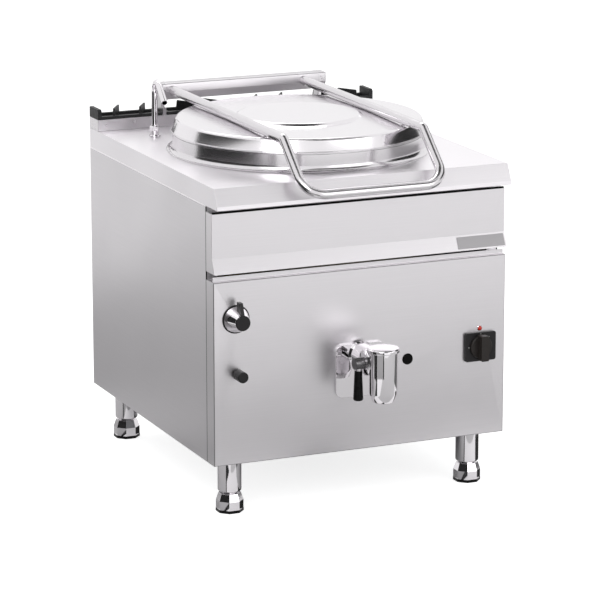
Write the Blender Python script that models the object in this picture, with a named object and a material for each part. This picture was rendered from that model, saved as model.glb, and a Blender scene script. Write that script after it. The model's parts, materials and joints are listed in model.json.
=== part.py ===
"""Steam jacketed kettle, 150 litres, gas heated, on four adjustable feet.

Metres, +Z up. The front faces -Y and the user's left is -X. The origin is on the floor, at the
middle of the kettle's plan from the drain tap's nose to the back panel.
"""
import math

import bmesh
import bpy
from mathutils import Matrix, Vector

for old in list(bpy.data.objects):
    bpy.data.objects.remove(old, do_unlink=True)

# Fits and general rules
GAP = 0.0003
RUNNING = 0.0003
OVERRUN = 0.020
MERGE = 0.00001
SHEET = 0.0015
ROUND_SIDES = 64
HIDDEN_SIDES = 32
BORE_SIDES = 24
SMALL_SIDES = 16
STUD_SIDES = 10
BEND_STEPS = 5
HIDDEN_BEND_STEPS = 3

# Cabinet, with the room it leaves round the pan
PAN_SIDE_SPACE = 0.100
PAN_FRONT_SPACE = 0.047
PAN_REAR_SPACE = 0.173
CABINET_HEIGHT = 0.6516
LEG_HEIGHT = 0.140
FRONT_FLANGE = 0.030
REAR_FLANGE = 0.020

# Front panel and fascia, as distances ahead of the side panels' front edge
PANEL_LEAD = 0.0476
PANEL_GAP = 0.0209
FASCIA_LEAD = 0.0380
LIP_LEAD = 0.0562
FASCIA_DROP = 0.0136
FASCIA_HEIGHT = 0.1497
LIP_HEIGHT = 0.0365
BADGE_WIDTH = 0.131
BADGE_HEIGHT = 0.031
BADGE_THICKNESS = 0.0015
BADGE_INSET = 0.005

# Worktop
WORKTOP_HEIGHT = 0.0522
NOSE_LEAD = 0.0748
NOSE_BREAK = 0.0527
NOSE_LIP = 0.0103
NOSE_RETURN = 0.030

# Pan, jacket and collar
PAN_RADIUS = 0.300
PAN_WALL = 0.003
PAN_CORNER = 0.030
DRAIN_SINK = 0.001
RIM_WIDTH = 0.025
COLLAR_STEP = 0.0005
COLLAR_WALL = 0.003
COLLAR_HEIGHT = 0.0442
COLLAR_FILLET = 0.016
JACKET_SPACE = 0.020
JACKET_WALL = 0.003
JACKET_DROP = 0.0666
JACKET_FLOOR_SPACE = 0.050
JACKET_CORNER = 0.060
WOOL_THICKNESS = 0.016
WOOL_LOW = 0.300

# Lid, lid handle and hinge
LID_OVERHANG = 0.0040
LID_FLARE = 0.0110
LID_HEIGHT = 0.0340
LID_SHEET = 0.0012
LID_ROUND = 0.008
LID_RISE = 0.0022
DISC_RADIUS = 0.155
DISC_SLOPE = 0.009
DISC_RISE = 0.0065
LID_CLEARANCE = 0.0010
LINER_EDGE = 0.009
GASKET_WIDTH = 0.014
HANDLE_TUBE_RADIUS = 0.0125
HANDLE_TUBE_WALL = 0.002
HANDLE_HALF_WIDTH = 0.190
HANDLE_BEND_SETBACK = 0.005
HANDLE_BAR_LEAD = 0.130
HANDLE_BAR_DROP = 0.118
HANDLE_KNEE = 0.015
HANDLE_CORNER = 0.058
STUD_RADIUS = 0.0055
STUD_INSET = 0.020
HINGE_SETBACK = 0.028
HINGE_HEIGHT = 0.0932
SHAFT_RADIUS = 0.008
HOUSING_WIDTH = 0.477
HOUSING_OFFSET = 0.0175
HOUSING_FRONT = 0.035
HOUSING_BACK = 0.028
HOUSING_UP = 0.023
HOUSING_DOWN = 0.022
HOUSING_CHAMFER = 0.010
HOUSING_FACE_DROP = 0.001
HOUSING_FALL = 0.006
HOUSING_SHEET = 0.002
POST_WIDTH = 0.0095
POST_INSET = 0.0055
POST_EAR_RADIUS = 0.0155
POST_FOOT_HEIGHT = 0.020
SPRING_WIRE = 0.0018
SPRING_RADIUS = 0.0125
SPRING_TURNS = 7
SPRING_PITCH = 0.0048

# Flue riser and cast grate
RISER_DEPTH = 0.065
RISER_HEIGHT = 0.030
GRATE_BAR = 0.011
GRATE_BAR_HEIGHT = 0.008
GRATE_HEIGHT = 0.027
GRATE_BLOCK = 0.011
GRATE_CELLS = 4
GRATE_FIN = 0.005
GRATE_FIN_SPACING = 0.074
GRATE_FIN_TURN = math.radians(32.0)
GRATE_FIN_RUN = 0.066
GRATE_FIN_TOP_SHARE = 0.9
GRATE_NOTCH = 0.0025
RISER_LEDGE = 0.013

# Drain and tap
TAP_X = -0.0055
TAP_Z = 0.250
DRAIN_BORE = 0.0225
DRAIN_WALL = 0.003
TAP_REACH = 0.139
BARREL_RADIUS = 0.030
SPOUT_BODY_RADIUS = 0.0355
SPOUT_CAP_RADIUS = 0.0405
SPOUT_CAP_HEIGHT = 0.014
SPOUT_TOP = 0.3005
SPOUT_SHOULDER = 0.1835
SPOUT_BOTTOM = 0.1600
SPOUT_MOUTH_RADIUS = 0.0275
SPOUT_BORE = 0.0215
SPOUT_ROOF = 0.012
ESCUTCHEON = 0.137
ESCUTCHEON_DROP = 0.0405
ESCUTCHEON_THICKNESS = 0.007
ESCUTCHEON_CORNER = 0.020
LEVER_SETBACK = 0.0366
LEVER_RISE = 0.004
PLUG_RADIUS = 0.024
PLUG_PORT = 0.016
PLUG_BOSS_RADIUS = 0.033
PLUG_BOSS_LEFT = 0.0365
PLUG_BOSS_RIGHT = 0.029
SPINDLE_RADIUS = 0.009
HUB_RADIUS = 0.015
HUB_THICKNESS = 0.024
HUB_STANDOFF = 0.0025
SHANK_RADIUS = 0.007
SHANK_LENGTH = 0.020
GRIP_LENGTH = 0.075
GRIP_TOP_RADIUS = 0.0095
GRIP_END_RADIUS = 0.0125
GRIP_DOME = 0.004

# Controls on the front panel, measured from its lower left corner where no other edge is named
KNOB_X = 0.059
KNOB_DROP = 0.0959
BEZEL_RADIUS = 0.036
BEZEL_THICKNESS = 0.003
KNOB_BASE_RADIUS = 0.033
KNOB_NOSE_RADIUS = 0.0195
KNOB_LENGTH = 0.042
KNOB_CAP_THICKNESS = 0.0035
POINTER_WIDTH = 0.009
POINTER_TOP = 0.048
POINTER_SETBACK = 0.010
POINTER_DEPTH = 0.018
POINTER_ROOT = 0.005
STEM_RADIUS = 0.004
BUTTON_X = 0.0615
BUTTON_Z = 0.232
BUTTON_RADIUS = 0.014
BUTTON_LENGTH = 0.036
BUTTON_TRAVEL = 0.006
SIGHT_OFFSET = 0.127
SIGHT_Z = 0.221
SIGHT_RADIUS = 0.0145
SIGHT_PROUD = 0.0025
LAMP_Z = 0.281
LAMP_RADIUS = 0.0062
SWITCH_INSET = 0.071
SWITCH_Z = 0.234
SWITCH_WIDTH = 0.086
SWITCH_HEIGHT = 0.075
SWITCH_CORNER = 0.006
SWITCH_THICKNESS = 0.008
SWITCH_DISC_RADIUS = 0.030
SWITCH_DISC_DEPTH = 0.011
SWITCH_BAR_WIDTH = 0.021
SWITCH_BAR_HEIGHT = 0.066
SWITCH_BAR_REACH = 0.036
SWITCH_NECK_RADIUS = 0.020

# Swivel water spout
WATER_X = 0.114
WATER_LEAD = 0.120
WATER_TUBE_RADIUS = 0.008
WATER_RISE = 0.1735
WATER_REACH = 0.116
WATER_FALL = math.radians(29.0)
WATER_BEND = 0.035
WATER_TURN = math.radians(8.0)
WATER_MOUTH_DEPTH = 0.008
WATER_MOUTH_WALL = 0.002
WATER_FLANGE_RADIUS = 0.0155
WATER_NUT_RADIUS = 0.0135
WATER_BASE_HEIGHT = 0.031
WATER_SHANK_RADIUS = 0.010
WATER_SHANK_DROP = 0.030

# Legs and feet
LEG_INSET = 0.068
LEG_RADIUS = 0.030
LEG_SLEEVE_BOTTOM = 0.0535
LEG_ROUND = 0.005
FOOT_SIDES = 8
FOOT_TOP_RADIUS = 0.0285
FOOT_RADIUS = 0.035
FOOT_TOP = 0.049
FOOT_WAIST = 0.030
FOOT_PAD_HEIGHT = 0.0045
FOOT_PAD_RADIUS = 0.032
FOOT_NECK_RADIUS = 0.019
FOOT_ROD_RADIUS = 0.008
FOOT_ROD_TOP = 0.118
FOOT_ROD_HEADROOM = 0.004

# Inside the cabinet
FRAME_SHEET = 0.003
FRAME_HEIGHT = 0.040
RAIL_HEIGHT = 0.045
RAIL_DEPTH = 0.028
FIREBOX_CLEARANCE = 0.006
FIREBOX_TOP = 0.290
AIR_HOLE_RADIUS = 0.120
BURNER_RING_RADIUS = 0.180
BURNER_TUBE_RADIUS = 0.014
BURNER_FOOT_HEIGHT = 0.045
BURNER_FOOT_RADIUS = 0.006
BURNER_FEET = 3
DUCT_WIDTH = 0.300
DUCT_MARGIN = 0.004
DUCT_BOTTOM = 0.120
DUCT_NECK_TOP = 0.240
PIPE_RADIUS = 0.0075
PIPE_BEND = 0.025
VALVE_WIDTH = 0.048
VALVE_HEIGHT = 0.080
VALVE_DEPTH = 0.055
IGNITER_RADIUS = 0.012
IGNITER_DEPTH = 0.050
SWITCH_BOX_WIDTH = 0.072
SWITCH_BOX_HEIGHT = 0.060
SWITCH_BOX_DEPTH = 0.060
RELIEF_RADIUS = 0.014
RELIEF_HEIGHT = 0.070
RELIEF_X = 0.080
RELIEF_SETBACK = 0.045
RELIEF_Z = 0.440

# Places worked out from the sizes
PAN_SETBACK = PAN_RADIUS + PAN_FRONT_SPACE
WIDTH = 2 * (PAN_RADIUS + PAN_SIDE_SPACE)
SIDE_DEPTH = PAN_SETBACK + PAN_RADIUS + PAN_REAR_SPACE
COLLAR_RADIUS = PAN_RADIUS + RIM_WIDTH + COLLAR_STEP
LID_RADIUS = COLLAR_RADIUS + LID_OVERHANG
LID_TOP_RADIUS = LID_RADIUS - LID_FLARE
FASCIA_TOP = CABINET_HEIGHT - FASCIA_DROP
FASCIA_BOTTOM = FASCIA_TOP - FASCIA_HEIGHT
LIP_TOP = FASCIA_BOTTOM + LIP_HEIGHT
PANEL_HEIGHT = FASCIA_BOTTOM - PANEL_GAP
JACKET_TOP = CABINET_HEIGHT - JACKET_DROP
KNOB_Z = PANEL_HEIGHT - KNOB_DROP
SWITCH_X = WIDTH - SWITCH_INSET
SIGHT_X = WIDTH / 2 + SIGHT_OFFSET
front_reach = PANEL_LEAD + TAP_REACH + SPOUT_CAP_RADIUS
side_front = (front_reach - SIDE_DEPTH) / 2
back = side_front + SIDE_DEPTH
left = -WIDTH / 2
right = WIDTH / 2
base = LEG_HEIGHT
cabinet_top = base + CABINET_HEIGHT
deck = cabinet_top + WORKTOP_HEIGHT
panel_face = side_front - PANEL_LEAD
panel_back = panel_face + SHEET
pan_y = side_front + PAN_SETBACK
collar_top = deck + COLLAR_HEIGHT
rim_top = collar_top + GAP + PAN_WALL
tap_z = base + TAP_Z
pan_floor = tap_z - DRAIN_BORE + DRAIN_SINK
tap_y = panel_face - TAP_REACH
lever_y = tap_y + LEVER_SETBACK
lever_z = tap_z + LEVER_RISE
hinge_z = deck + HINGE_HEIGHT
lid_bottom = rim_top + LID_CLEARANCE
lid_edge = lid_bottom + LID_HEIGHT
lid_shoulder = lid_edge + LID_RISE
arm_z = lid_shoulder + GAP + HANDLE_TUBE_RADIUS
riser_front = back - RISER_DEPTH
hinge_y = riser_front + HINGE_SETBACK
water_y = riser_front - WATER_LEAD
riser_top = deck + GAP + RISER_HEIGHT
jacket_radius = PAN_RADIUS + PAN_WALL + JACKET_SPACE + JACKET_WALL
frame_floor = base + FRAME_SHEET


# Modelling steps shared by the pieces

def paint(name, colour, roughness, metallic):
    """A plain surface finish."""
    material = bpy.data.materials.new(name)
    material.use_nodes = True
    shader = material.node_tree.nodes["Principled BSDF"]
    shader.inputs["Base Color"].default_value = (*colour, 1.0)
    shader.inputs["Roughness"].default_value = roughness
    shader.inputs["Metallic"].default_value = metallic
    return material


brushed_steel = paint("brushed_steel", (0.62, 0.62, 0.63), 0.35, 1.0)
polished_steel = paint("polished_steel", (0.72, 0.72, 0.73), 0.15, 1.0)
chrome = paint("chrome", (0.80, 0.80, 0.81), 0.06, 1.0)
cast_iron = paint("cast_iron", (0.02, 0.02, 0.022), 0.55, 0.6)
black_plastic = paint("black_plastic", (0.025, 0.025, 0.027), 0.40, 0.0)
red_lens = paint("red_lens", (0.62, 0.04, 0.02), 0.20, 0.0)
black_rubber = paint("black_rubber", (0.03, 0.03, 0.03), 0.75, 0.0)
white_silicone = paint("white_silicone", (0.80, 0.79, 0.76), 0.60, 0.0)
mineral_wool = paint("mineral_wool", (0.55, 0.50, 0.38), 0.95, 0.0)
galvanised = paint("galvanised", (0.50, 0.51, 0.52), 0.50, 1.0)
brass = paint("brass", (0.70, 0.52, 0.25), 0.30, 1.0)
spring_steel = paint("spring_steel", (0.35, 0.35, 0.36), 0.35, 1.0)


def settle(name, bm, finish, place=(0.0, 0.0, 0.0), turn=(0.0, 0.0, 0.0)):
    """Turns a finished bmesh into a named object with a smooth-shaded, outward-facing skin."""
    bmesh.ops.recalc_face_normals(bm, faces=bm.faces)
    mesh = bpy.data.meshes.new(name)
    bm.to_mesh(mesh)
    bm.free()
    mesh.materials.append(finish)
    mesh.shade_smooth()
    mesh.set_sharp_from_angle(angle=math.radians(35.0))
    piece = bpy.data.objects.new(name, mesh)
    piece.location = place
    piece.rotation_euler = turn
    bpy.context.scene.collection.objects.link(piece)
    return piece


def add_block(bm, low, high):
    """A rectangular block between two opposite corners."""
    centre = (Vector(low) + Vector(high)) / 2
    span = Vector(high) - Vector(low)
    matrix = Matrix.Translation(centre) @ Matrix.Diagonal((*span, 1.0))
    bmesh.ops.create_cube(bm, size=1.0, matrix=matrix)


def block(name, low, high, finish):
    bm = bmesh.new()
    add_block(bm, low, high)
    return settle(name, bm, finish)


def add_rod(bm, start, end, radius, sides, end_radius=None):
    """A round rod or cone between two points."""
    start, end = Vector(start), Vector(end)
    line = end - start
    spin = Vector((0.0, 0.0, 1.0)).rotation_difference(line).to_matrix().to_4x4()
    matrix = Matrix.Translation((start + end) / 2) @ spin
    far_radius = radius if end_radius is None else end_radius
    bmesh.ops.create_cone(bm, cap_ends=True, segments=sides, radius1=radius, radius2=far_radius,
                          depth=line.length, matrix=matrix)


def rod(name, start, end, radius, sides, finish, end_radius=None):
    bm = bmesh.new()
    add_rod(bm, start, end, radius, sides, end_radius)
    return settle(name, bm, finish)


def turned(name, outline, sides, finish, place=(0.0, 0.0, 0.0), turn=(0.0, 0.0, 0.0)):
    """A closed outline of (radius, height) points spun about Z."""
    bm = bmesh.new()
    ring = [bm.verts.new((radius, 0.0, height)) for radius, height in outline]
    for one, two in zip(ring, ring[1:] + ring[:1]):
        if one.co.x > 0.0 or two.co.x > 0.0:
            bm.edges.new((one, two))
    bmesh.ops.spin(bm, geom=bm.verts[:] + bm.edges[:], cent=(0.0, 0.0, 0.0), axis=(0.0, 0.0, 1.0),
                   angle=math.tau, steps=sides, use_merge=True)
    bmesh.ops.remove_doubles(bm, verts=bm.verts, dist=MERGE)
    return settle(name, bm, finish, place, turn)


def add_extrusion(bm, outline, travel):
    """A flat outline of 3D points carried along one vector."""
    face = bm.faces.new([bm.verts.new(point) for point in outline])
    grown = bmesh.ops.extrude_face_region(bm, geom=[face])
    moved = [item for item in grown["geom"] if isinstance(item, bmesh.types.BMVert)]
    bmesh.ops.translate(bm, verts=moved, vec=travel)


def extruded(name, outline, travel, finish):
    bm = bmesh.new()
    add_extrusion(bm, outline, travel)
    return settle(name, bm, finish)


def arc(centre_a, centre_b, radius, start, end, steps):
    """Points of an arc in a plane, from angle start to angle end."""
    points = []
    for step in range(steps + 1):
        angle = start + (end - start) * step / steps
        points.append((centre_a + radius * math.cos(angle), centre_b + radius * math.sin(angle)))
    return points


def rounded_rectangle(centre_a, centre_b, width, height, corner):
    """The outline of a rectangle whose four corners are arcs."""
    points = []
    for quarter in range(4):
        angle = quarter * math.pi / 2
        side_a = 1 if quarter in (0, 3) else -1
        side_b = 1 if quarter in (0, 1) else -1
        points += arc(centre_a + side_a * (width / 2 - corner), centre_b + side_b * (height / 2 - corner),
                      corner, angle, angle + math.pi / 2, BEND_STEPS)
    return points


def bent_path(corners, radii):
    """A wire's path through its corners, each rounded with its own bend radius."""
    path = [Vector(corners[0])]
    for before, corner, after, radius in zip(corners, corners[1:], corners[2:], radii):
        before, corner, after = Vector(before), Vector(corner), Vector(after)
        inward = (before - corner).normalized()
        outward = (after - corner).normalized()
        half = inward.angle(outward) / 2
        centre = corner + (inward + outward).normalized() * radius / math.sin(half)
        first = corner + inward * radius / math.tan(half) - centre
        last = corner + outward * radius / math.tan(half) - centre
        sweep = first.angle(last)
        for step in range(BEND_STEPS + 1):
            share = step / BEND_STEPS
            near = math.sin((1 - share) * sweep) / math.sin(sweep)
            far = math.sin(share * sweep) / math.sin(sweep)
            path.append(centre + first * near + last * far)
    path.append(Vector(corners[-1]))
    return path


def tube(name, path, radius, resolution, finish, place=(0.0, 0.0, 0.0)):
    """A round bar or closed tube along a path."""
    curve = bpy.data.curves.new(name, "CURVE")
    curve.dimensions = "3D"
    curve.bevel_depth = radius
    curve.bevel_resolution = resolution
    curve.use_fill_caps = True
    spline = curve.splines.new("POLY")
    spline.points.add(len(path) - 1)
    for knot, point in zip(spline.points, path):
        knot.co = (*point, 1.0)
    wire = bpy.data.objects.new(name, curve)
    bm = bmesh.new()
    bm.from_mesh(bpy.data.meshes.new_from_object(wire))
    bpy.data.objects.remove(wire, do_unlink=True)
    bmesh.ops.remove_doubles(bm, verts=bm.verts, dist=MERGE)
    return settle(name, bm, finish, place)


def join_tool(target, tool, operation):
    """Cuts a tool out of a piece, or welds it on. The tool itself is not a piece."""
    tool.hide_render = True
    tool.display_type = "WIRE"
    step = target.modifiers.new(tool.name, "BOOLEAN")
    step.operation = operation
    step.solver = "EXACT"
    step.object = tool


def cut(target, tool):
    join_tool(target, tool, "DIFFERENCE")


def weld(target, tool):
    join_tool(target, tool, "UNION")


def hang(piece, pivot):
    """Parents a piece to its joint's empty, without moving it."""
    piece.parent = pivot
    piece.matrix_parent_inverse = pivot.matrix_basis.inverted()


def pivot_at(name, place):
    pivot = bpy.data.objects.new(name, None)
    pivot.location = place
    bpy.context.scene.collection.objects.link(pivot)
    return pivot


# The cabinet

def base_frame():
    """Folded tray that carries the panels and the firebox, with a round inlet for the burner's air."""
    half = WIDTH / 2 - SHEET - GAP
    front = side_front + SHEET + GAP
    rear = back - 2 * (SHEET + GAP)
    frame = block("base_frame", (-half, front, base), (half, rear, base + FRAME_HEIGHT), galvanised)
    inside = block("base_frame_inside", (-half + FRAME_SHEET, front + FRAME_SHEET, frame_floor),
                   (half - FRAME_SHEET, rear - FRAME_SHEET, base + FRAME_HEIGHT + OVERRUN), galvanised)
    cut(frame, inside)
    cut(frame, rod("base_frame_air", (0.0, pan_y, base - OVERRUN), (0.0, pan_y, base + OVERRUN),
                   AIR_HOLE_RADIUS, BORE_SIDES, galvanised))


def side_panel(name, side):
    """Sheet side with a flange folded in at the front and the back."""
    outer = side * WIDTH / 2
    skin = side * (WIDTH / 2 - SHEET)
    front_end = side * (WIDTH / 2 - FRONT_FLANGE)
    rear_end = side * (WIDTH / 2 - REAR_FLANGE)
    plan = [(outer, side_front), (outer, back), (rear_end, back), (rear_end, back - SHEET),
            (skin, back - SHEET), (skin, side_front + SHEET), (front_end, side_front + SHEET),
            (front_end, side_front)]
    extruded(name, [(x, y, base) for x, y in plan], (0.0, 0.0, CABINET_HEIGHT), brushed_steel)


def rear_panel():
    """Sheet back with air slots low down and holes for the gas and water inlets."""
    half = WIDTH / 2 - SHEET - GAP
    outer = back - SHEET - GAP
    panel = block("rear_panel", (-half, outer - SHEET, base), (half, outer, cabinet_top - GAP), brushed_steel)
    slots = bmesh.new()
    slot_count = 7
    pitch = WIDTH / (slot_count + 3)
    slot_height = 0.012
    slot_z = base + FRAME_HEIGHT + pitch
    for number in range(slot_count):
        x = (number - (slot_count - 1) / 2) * pitch
        add_block(slots, (x - pitch / 4, outer - OVERRUN, slot_z), (x + pitch / 4, outer + OVERRUN, slot_z + slot_height))
    cut(panel, settle("rear_panel_slots", slots, galvanised))
    inlets = bmesh.new()
    for x, y, z in (gas_inlet(), water_inlet()):
        add_rod(inlets, (x, outer - OVERRUN, z), (x, outer + OVERRUN, z), PIPE_RADIUS + GAP, SMALL_SIDES)
    cut(panel, settle("rear_panel_inlets", inlets, galvanised))


def panel_point(x, z, lead=0.0):
    """A place on the front panel's face, from its lower left corner."""
    return (left + x, panel_face - lead, base + z)


def front_panel():
    """Folded pan that closes the front, with a hole for each control and for the drain."""
    panel = block("front_panel", (left, panel_face, base), (right, side_front - GAP, base + PANEL_HEIGHT),
                  brushed_steel)
    inside = block("front_panel_inside", (left + SHEET, panel_back, base + SHEET),
                   (right - SHEET, side_front + OVERRUN, base + PANEL_HEIGHT - SHEET), brushed_steel)
    cut(panel, inside)
    holes = bmesh.new()
    for x, z, radius in ((KNOB_X, KNOB_Z, STEM_RADIUS), (BUTTON_X, BUTTON_Z, STEM_RADIUS),
                         (SIGHT_X, SIGHT_Z, SIGHT_RADIUS - SIGHT_PROUD), (SWITCH_X, LAMP_Z, LAMP_RADIUS - SHEET),
                         (SWITCH_X, SWITCH_Z, SWITCH_NECK_RADIUS), (TAP_X - left, TAP_Z, DRAIN_BORE + DRAIN_WALL)):
        near = panel_point(x, z, OVERRUN)
        far = panel_point(x, z, -OVERRUN)
        add_rod(holes, near, far, radius + GAP, BORE_SIDES)
    cut(panel, settle("front_panel_holes", holes, brushed_steel))


def control_fascia():
    """Upper front cover: flat face, and a lip that leans out at its foot."""
    face = side_front - FASCIA_LEAD
    lip = side_front - LIP_LEAD
    top = base + FASCIA_TOP
    knee = base + LIP_TOP
    foot = base + FASCIA_BOTTOM
    rear = side_front - GAP
    outer = [(left, rear, top), (left, face, top), (left, face, knee), (left, lip, foot), (left, rear, foot)]
    fascia = extruded("control_fascia", outer, (WIDTH, 0.0, 0.0), brushed_steel)
    slope = math.atan2(LIP_LEAD - FASCIA_LEAD, LIP_TOP - FASCIA_BOTTOM)
    lip_inset = SHEET / math.cos(slope) + SHEET * math.tan(slope)
    x = left + SHEET
    inner = [(x, side_front + OVERRUN, top - SHEET), (x, face + SHEET, top - SHEET),
             (x, face + SHEET, knee), (x, lip + lip_inset, foot + SHEET), (x, side_front + OVERRUN, foot + SHEET)]
    cut(fascia, extruded("control_fascia_inside", inner, (WIDTH - 2 * SHEET, 0.0, 0.0), brushed_steel))


def badge_plate():
    """Bare plate fixed on the fascia's leaning lip, near its right end."""
    run = Vector((0.0, LIP_LEAD - FASCIA_LEAD, LIP_TOP - FASCIA_BOTTOM))
    lean = math.atan2(run.y, run.z)
    outward = Vector((0.0, -math.cos(lean), math.sin(lean)))
    middle = Vector((right - BADGE_INSET - BADGE_WIDTH / 2, side_front - (FASCIA_LEAD + LIP_LEAD) / 2,
                     base + (LIP_TOP + FASCIA_BOTTOM) / 2))
    bm = bmesh.new()
    add_block(bm, (-BADGE_WIDTH / 2, -BADGE_THICKNESS / 2, -BADGE_HEIGHT / 2),
              (BADGE_WIDTH / 2, BADGE_THICKNESS / 2, BADGE_HEIGHT / 2))
    place = middle + outward * (GAP + BADGE_THICKNESS / 2)
    settle("badge_plate", bm, polished_steel, place, (-lean, 0.0, 0.0))


def front_rail():
    """Angle that ties the two sides together under the worktop's nose."""
    half = WIDTH / 2 - SHEET - GAP
    front = side_front + SHEET + GAP
    top = cabinet_top - GAP
    outline = [(-half, front, top - RAIL_HEIGHT), (-half, front, top), (-half, front + RAIL_DEPTH, top),
               (-half, front + RAIL_DEPTH, top - FRAME_SHEET), (-half, front + FRAME_SHEET, top - FRAME_SHEET),
               (-half, front + FRAME_SHEET, top - RAIL_HEIGHT)]
    extruded("front_rail", outline, (2 * half, 0.0, 0.0), galvanised)


def worktop():
    """One folded cap with a leaning nose, cut out for the pan, the flue and the water spout."""
    low = cabinet_top + GAP
    nose = side_front - NOSE_LEAD
    lip = low + NOSE_LIP
    edge = side_front - NOSE_BREAK
    outer = [(left, back, low), (left, back, deck), (left, edge, deck), (left, nose, lip), (left, nose, low)]
    top = extruded("worktop", outer, (WIDTH, 0.0, 0.0), brushed_steel)
    fold = side_front - NOSE_RETURN
    x = left + SHEET
    inner = [(x, back - SHEET, low - OVERRUN), (x, back - SHEET, deck - SHEET), (x, edge + SHEET, deck - SHEET),
             (x, nose + SHEET, lip), (x, nose + SHEET, low + SHEET), (x, fold, low + SHEET),
             (x, fold, low - OVERRUN)]
    cut(top, extruded("worktop_inside", inner, (WIDTH - 2 * SHEET, 0.0, 0.0), brushed_steel))
    well = rod("worktop_well", (0.0, pan_y, deck - OVERRUN), (0.0, pan_y, deck + OVERRUN),
               COLLAR_RADIUS - 2 * COLLAR_WALL, ROUND_SIDES, brushed_steel)
    cut(top, well)
    openings = bmesh.new()
    add_block(openings, (-DUCT_WIDTH / 2, riser_front + 2 * DUCT_MARGIN, deck - OVERRUN),
              (DUCT_WIDTH / 2, back - 2 * DUCT_MARGIN, deck + OVERRUN))
    x, y = left + WATER_X, water_y
    add_rod(openings, (x, y, deck - OVERRUN), (x, y, deck + OVERRUN), WATER_SHANK_RADIUS + GAP, SMALL_SIDES)
    cut(top, settle("worktop_openings", openings, brushed_steel))


def flue_riser():
    """Low box along the back of the worktop, open below, with four flue vents in its top."""
    low = deck + GAP
    riser = block("flue_riser", (left, riser_front, low), (right, back, riser_top), brushed_steel)
    inside = block("flue_riser_inside", (left + SHEET, riser_front + SHEET, low - OVERRUN),
                   (right - SHEET, back - SHEET, riser_top - SHEET), brushed_steel)
    cut(riser, inside)
    vents = bmesh.new()
    for side in (-1, 1):
        post = abs(post_x(side))
        margin = (POST_WIDTH + RISER_LEDGE) / 2
        for start, end in ((RISER_LEDGE / 2, post - margin), (post + margin, right - RISER_LEDGE)):
            add_block(vents, (side * start, riser_front + RISER_LEDGE, riser_top - OVERRUN),
                      (side * end, back - RISER_LEDGE, riser_top + OVERRUN))
    cut(riser, settle("flue_riser_vents", vents, brushed_steel))


# The cast grate

def post_x(side):
    """The middle of a hinge post."""
    return HOUSING_OFFSET + side * (HOUSING_WIDTH / 2 - POST_INSET - POST_WIDTH / 2)


def flue_grate():
    """Cast grate on the riser: end blocks, two long bars, cross bars and slanting fins."""
    low = riser_top + GAP
    front, rear = riser_front, back
    grate = block("flue_grate", (left, front, low), (right, rear, low + GRATE_BAR_HEIGHT), cast_iron)
    pitch = WIDTH / GRATE_CELLS
    slots = bmesh.new()
    for cell in range(GRATE_CELLS):
        start = left + cell * pitch + (GRATE_BLOCK if cell == 0 else GRATE_BLOCK / 2)
        end = left + (cell + 1) * pitch - (GRATE_BLOCK if cell == GRATE_CELLS - 1 else GRATE_BLOCK / 2)
        add_block(slots, (start, front + GRATE_BAR, low - OVERRUN), (end, rear - GRATE_BAR, low + OVERRUN))
    cut(grate, settle("flue_grate_slots", slots, cast_iron))
    chamfer = GRATE_BLOCK / 2
    high = low + GRATE_HEIGHT
    for side, name in ((-1, "left"), (1, "right")):
        outer = side * WIDTH / 2
        profile = [(outer, front, low), (outer, rear, low), (outer, rear, high),
                   (outer, front + chamfer, high), (outer, front, high - chamfer)]
        inward = (-side * GRATE_BLOCK, 0.0, 0.0)
        weld(grate, extruded("flue_grate_end_" + name, profile, inward, cast_iron))
    for cell in range(GRATE_CELLS):
        for share in (-0.5, 0.5):
            middle = left + (cell + 0.5) * pitch + share * GRATE_FIN_SPACING
            turn = GRATE_FIN_TURN if cell % 2 == 0 else -GRATE_FIN_TURN
            weld(grate, grate_fin("flue_grate_fin", middle, (front + rear) / 2, low, turn))
    notches = bmesh.new()
    for side in (-1, 1):
        reach = POST_WIDTH / 2 + GRATE_NOTCH
        add_block(notches, (post_x(side) - reach, front - OVERRUN, low - OVERRUN),
                  (post_x(side) + reach, hinge_y + POST_EAR_RADIUS + GRATE_NOTCH, high + OVERRUN))
    cut(grate, settle("flue_grate_notches", notches, cast_iron))


def grate_fin(name, x, y, low, turn):
    """One upright fin that crosses the grate at a slant and tapers to its top."""
    bm = bmesh.new()
    half = GRATE_FIN_RUN / 2
    run = half * GRATE_FIN_TOP_SHARE
    profile = [(-GRATE_FIN / 2, -half, low), (-GRATE_FIN / 2, half, low),
               (-GRATE_FIN / 2, run, low + GRATE_HEIGHT), (-GRATE_FIN / 2, -run, low + GRATE_HEIGHT)]
    add_extrusion(bm, profile, (GRATE_FIN, 0.0, 0.0))
    return settle(name, bm, cast_iron, (x, y, 0.0), (0.0, 0.0, -turn))


# Pan, jacket and what surrounds them

def well_collar():
    """Raised ring round the pan's mouth, with a rounded foot on the worktop."""
    inner = COLLAR_RADIUS - COLLAR_WALL
    low = deck + GAP
    foot = arc(COLLAR_RADIUS + COLLAR_FILLET, low + COLLAR_FILLET + COLLAR_WALL / 4, COLLAR_FILLET,
               -math.pi / 2, -math.pi, HIDDEN_BEND_STEPS)
    outline = [(inner, low), (COLLAR_RADIUS + COLLAR_FILLET, low)] + foot
    outline += [(COLLAR_RADIUS, collar_top), (inner, collar_top)]
    turned("well_collar", outline, ROUND_SIDES, brushed_steel, (0.0, pan_y, 0.0))


def pan_inside(grow):
    """The pan's inner surface from the middle of its floor to its rim, moved out by grow."""
    radius = PAN_RADIUS + grow
    corner = PAN_CORNER + grow
    floor = pan_floor - grow
    return [(0.0, floor)] + arc(radius - corner, floor + corner, corner, -math.pi / 2, 0.0, HIDDEN_BEND_STEPS)


def drain_tool(name, radius, start, end):
    """A round tool along the drain's axis, from one depth to another."""
    return rod(name, (TAP_X, start, tap_z), (TAP_X, end, tap_z), radius, BORE_SIDES, brushed_steel)


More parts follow.
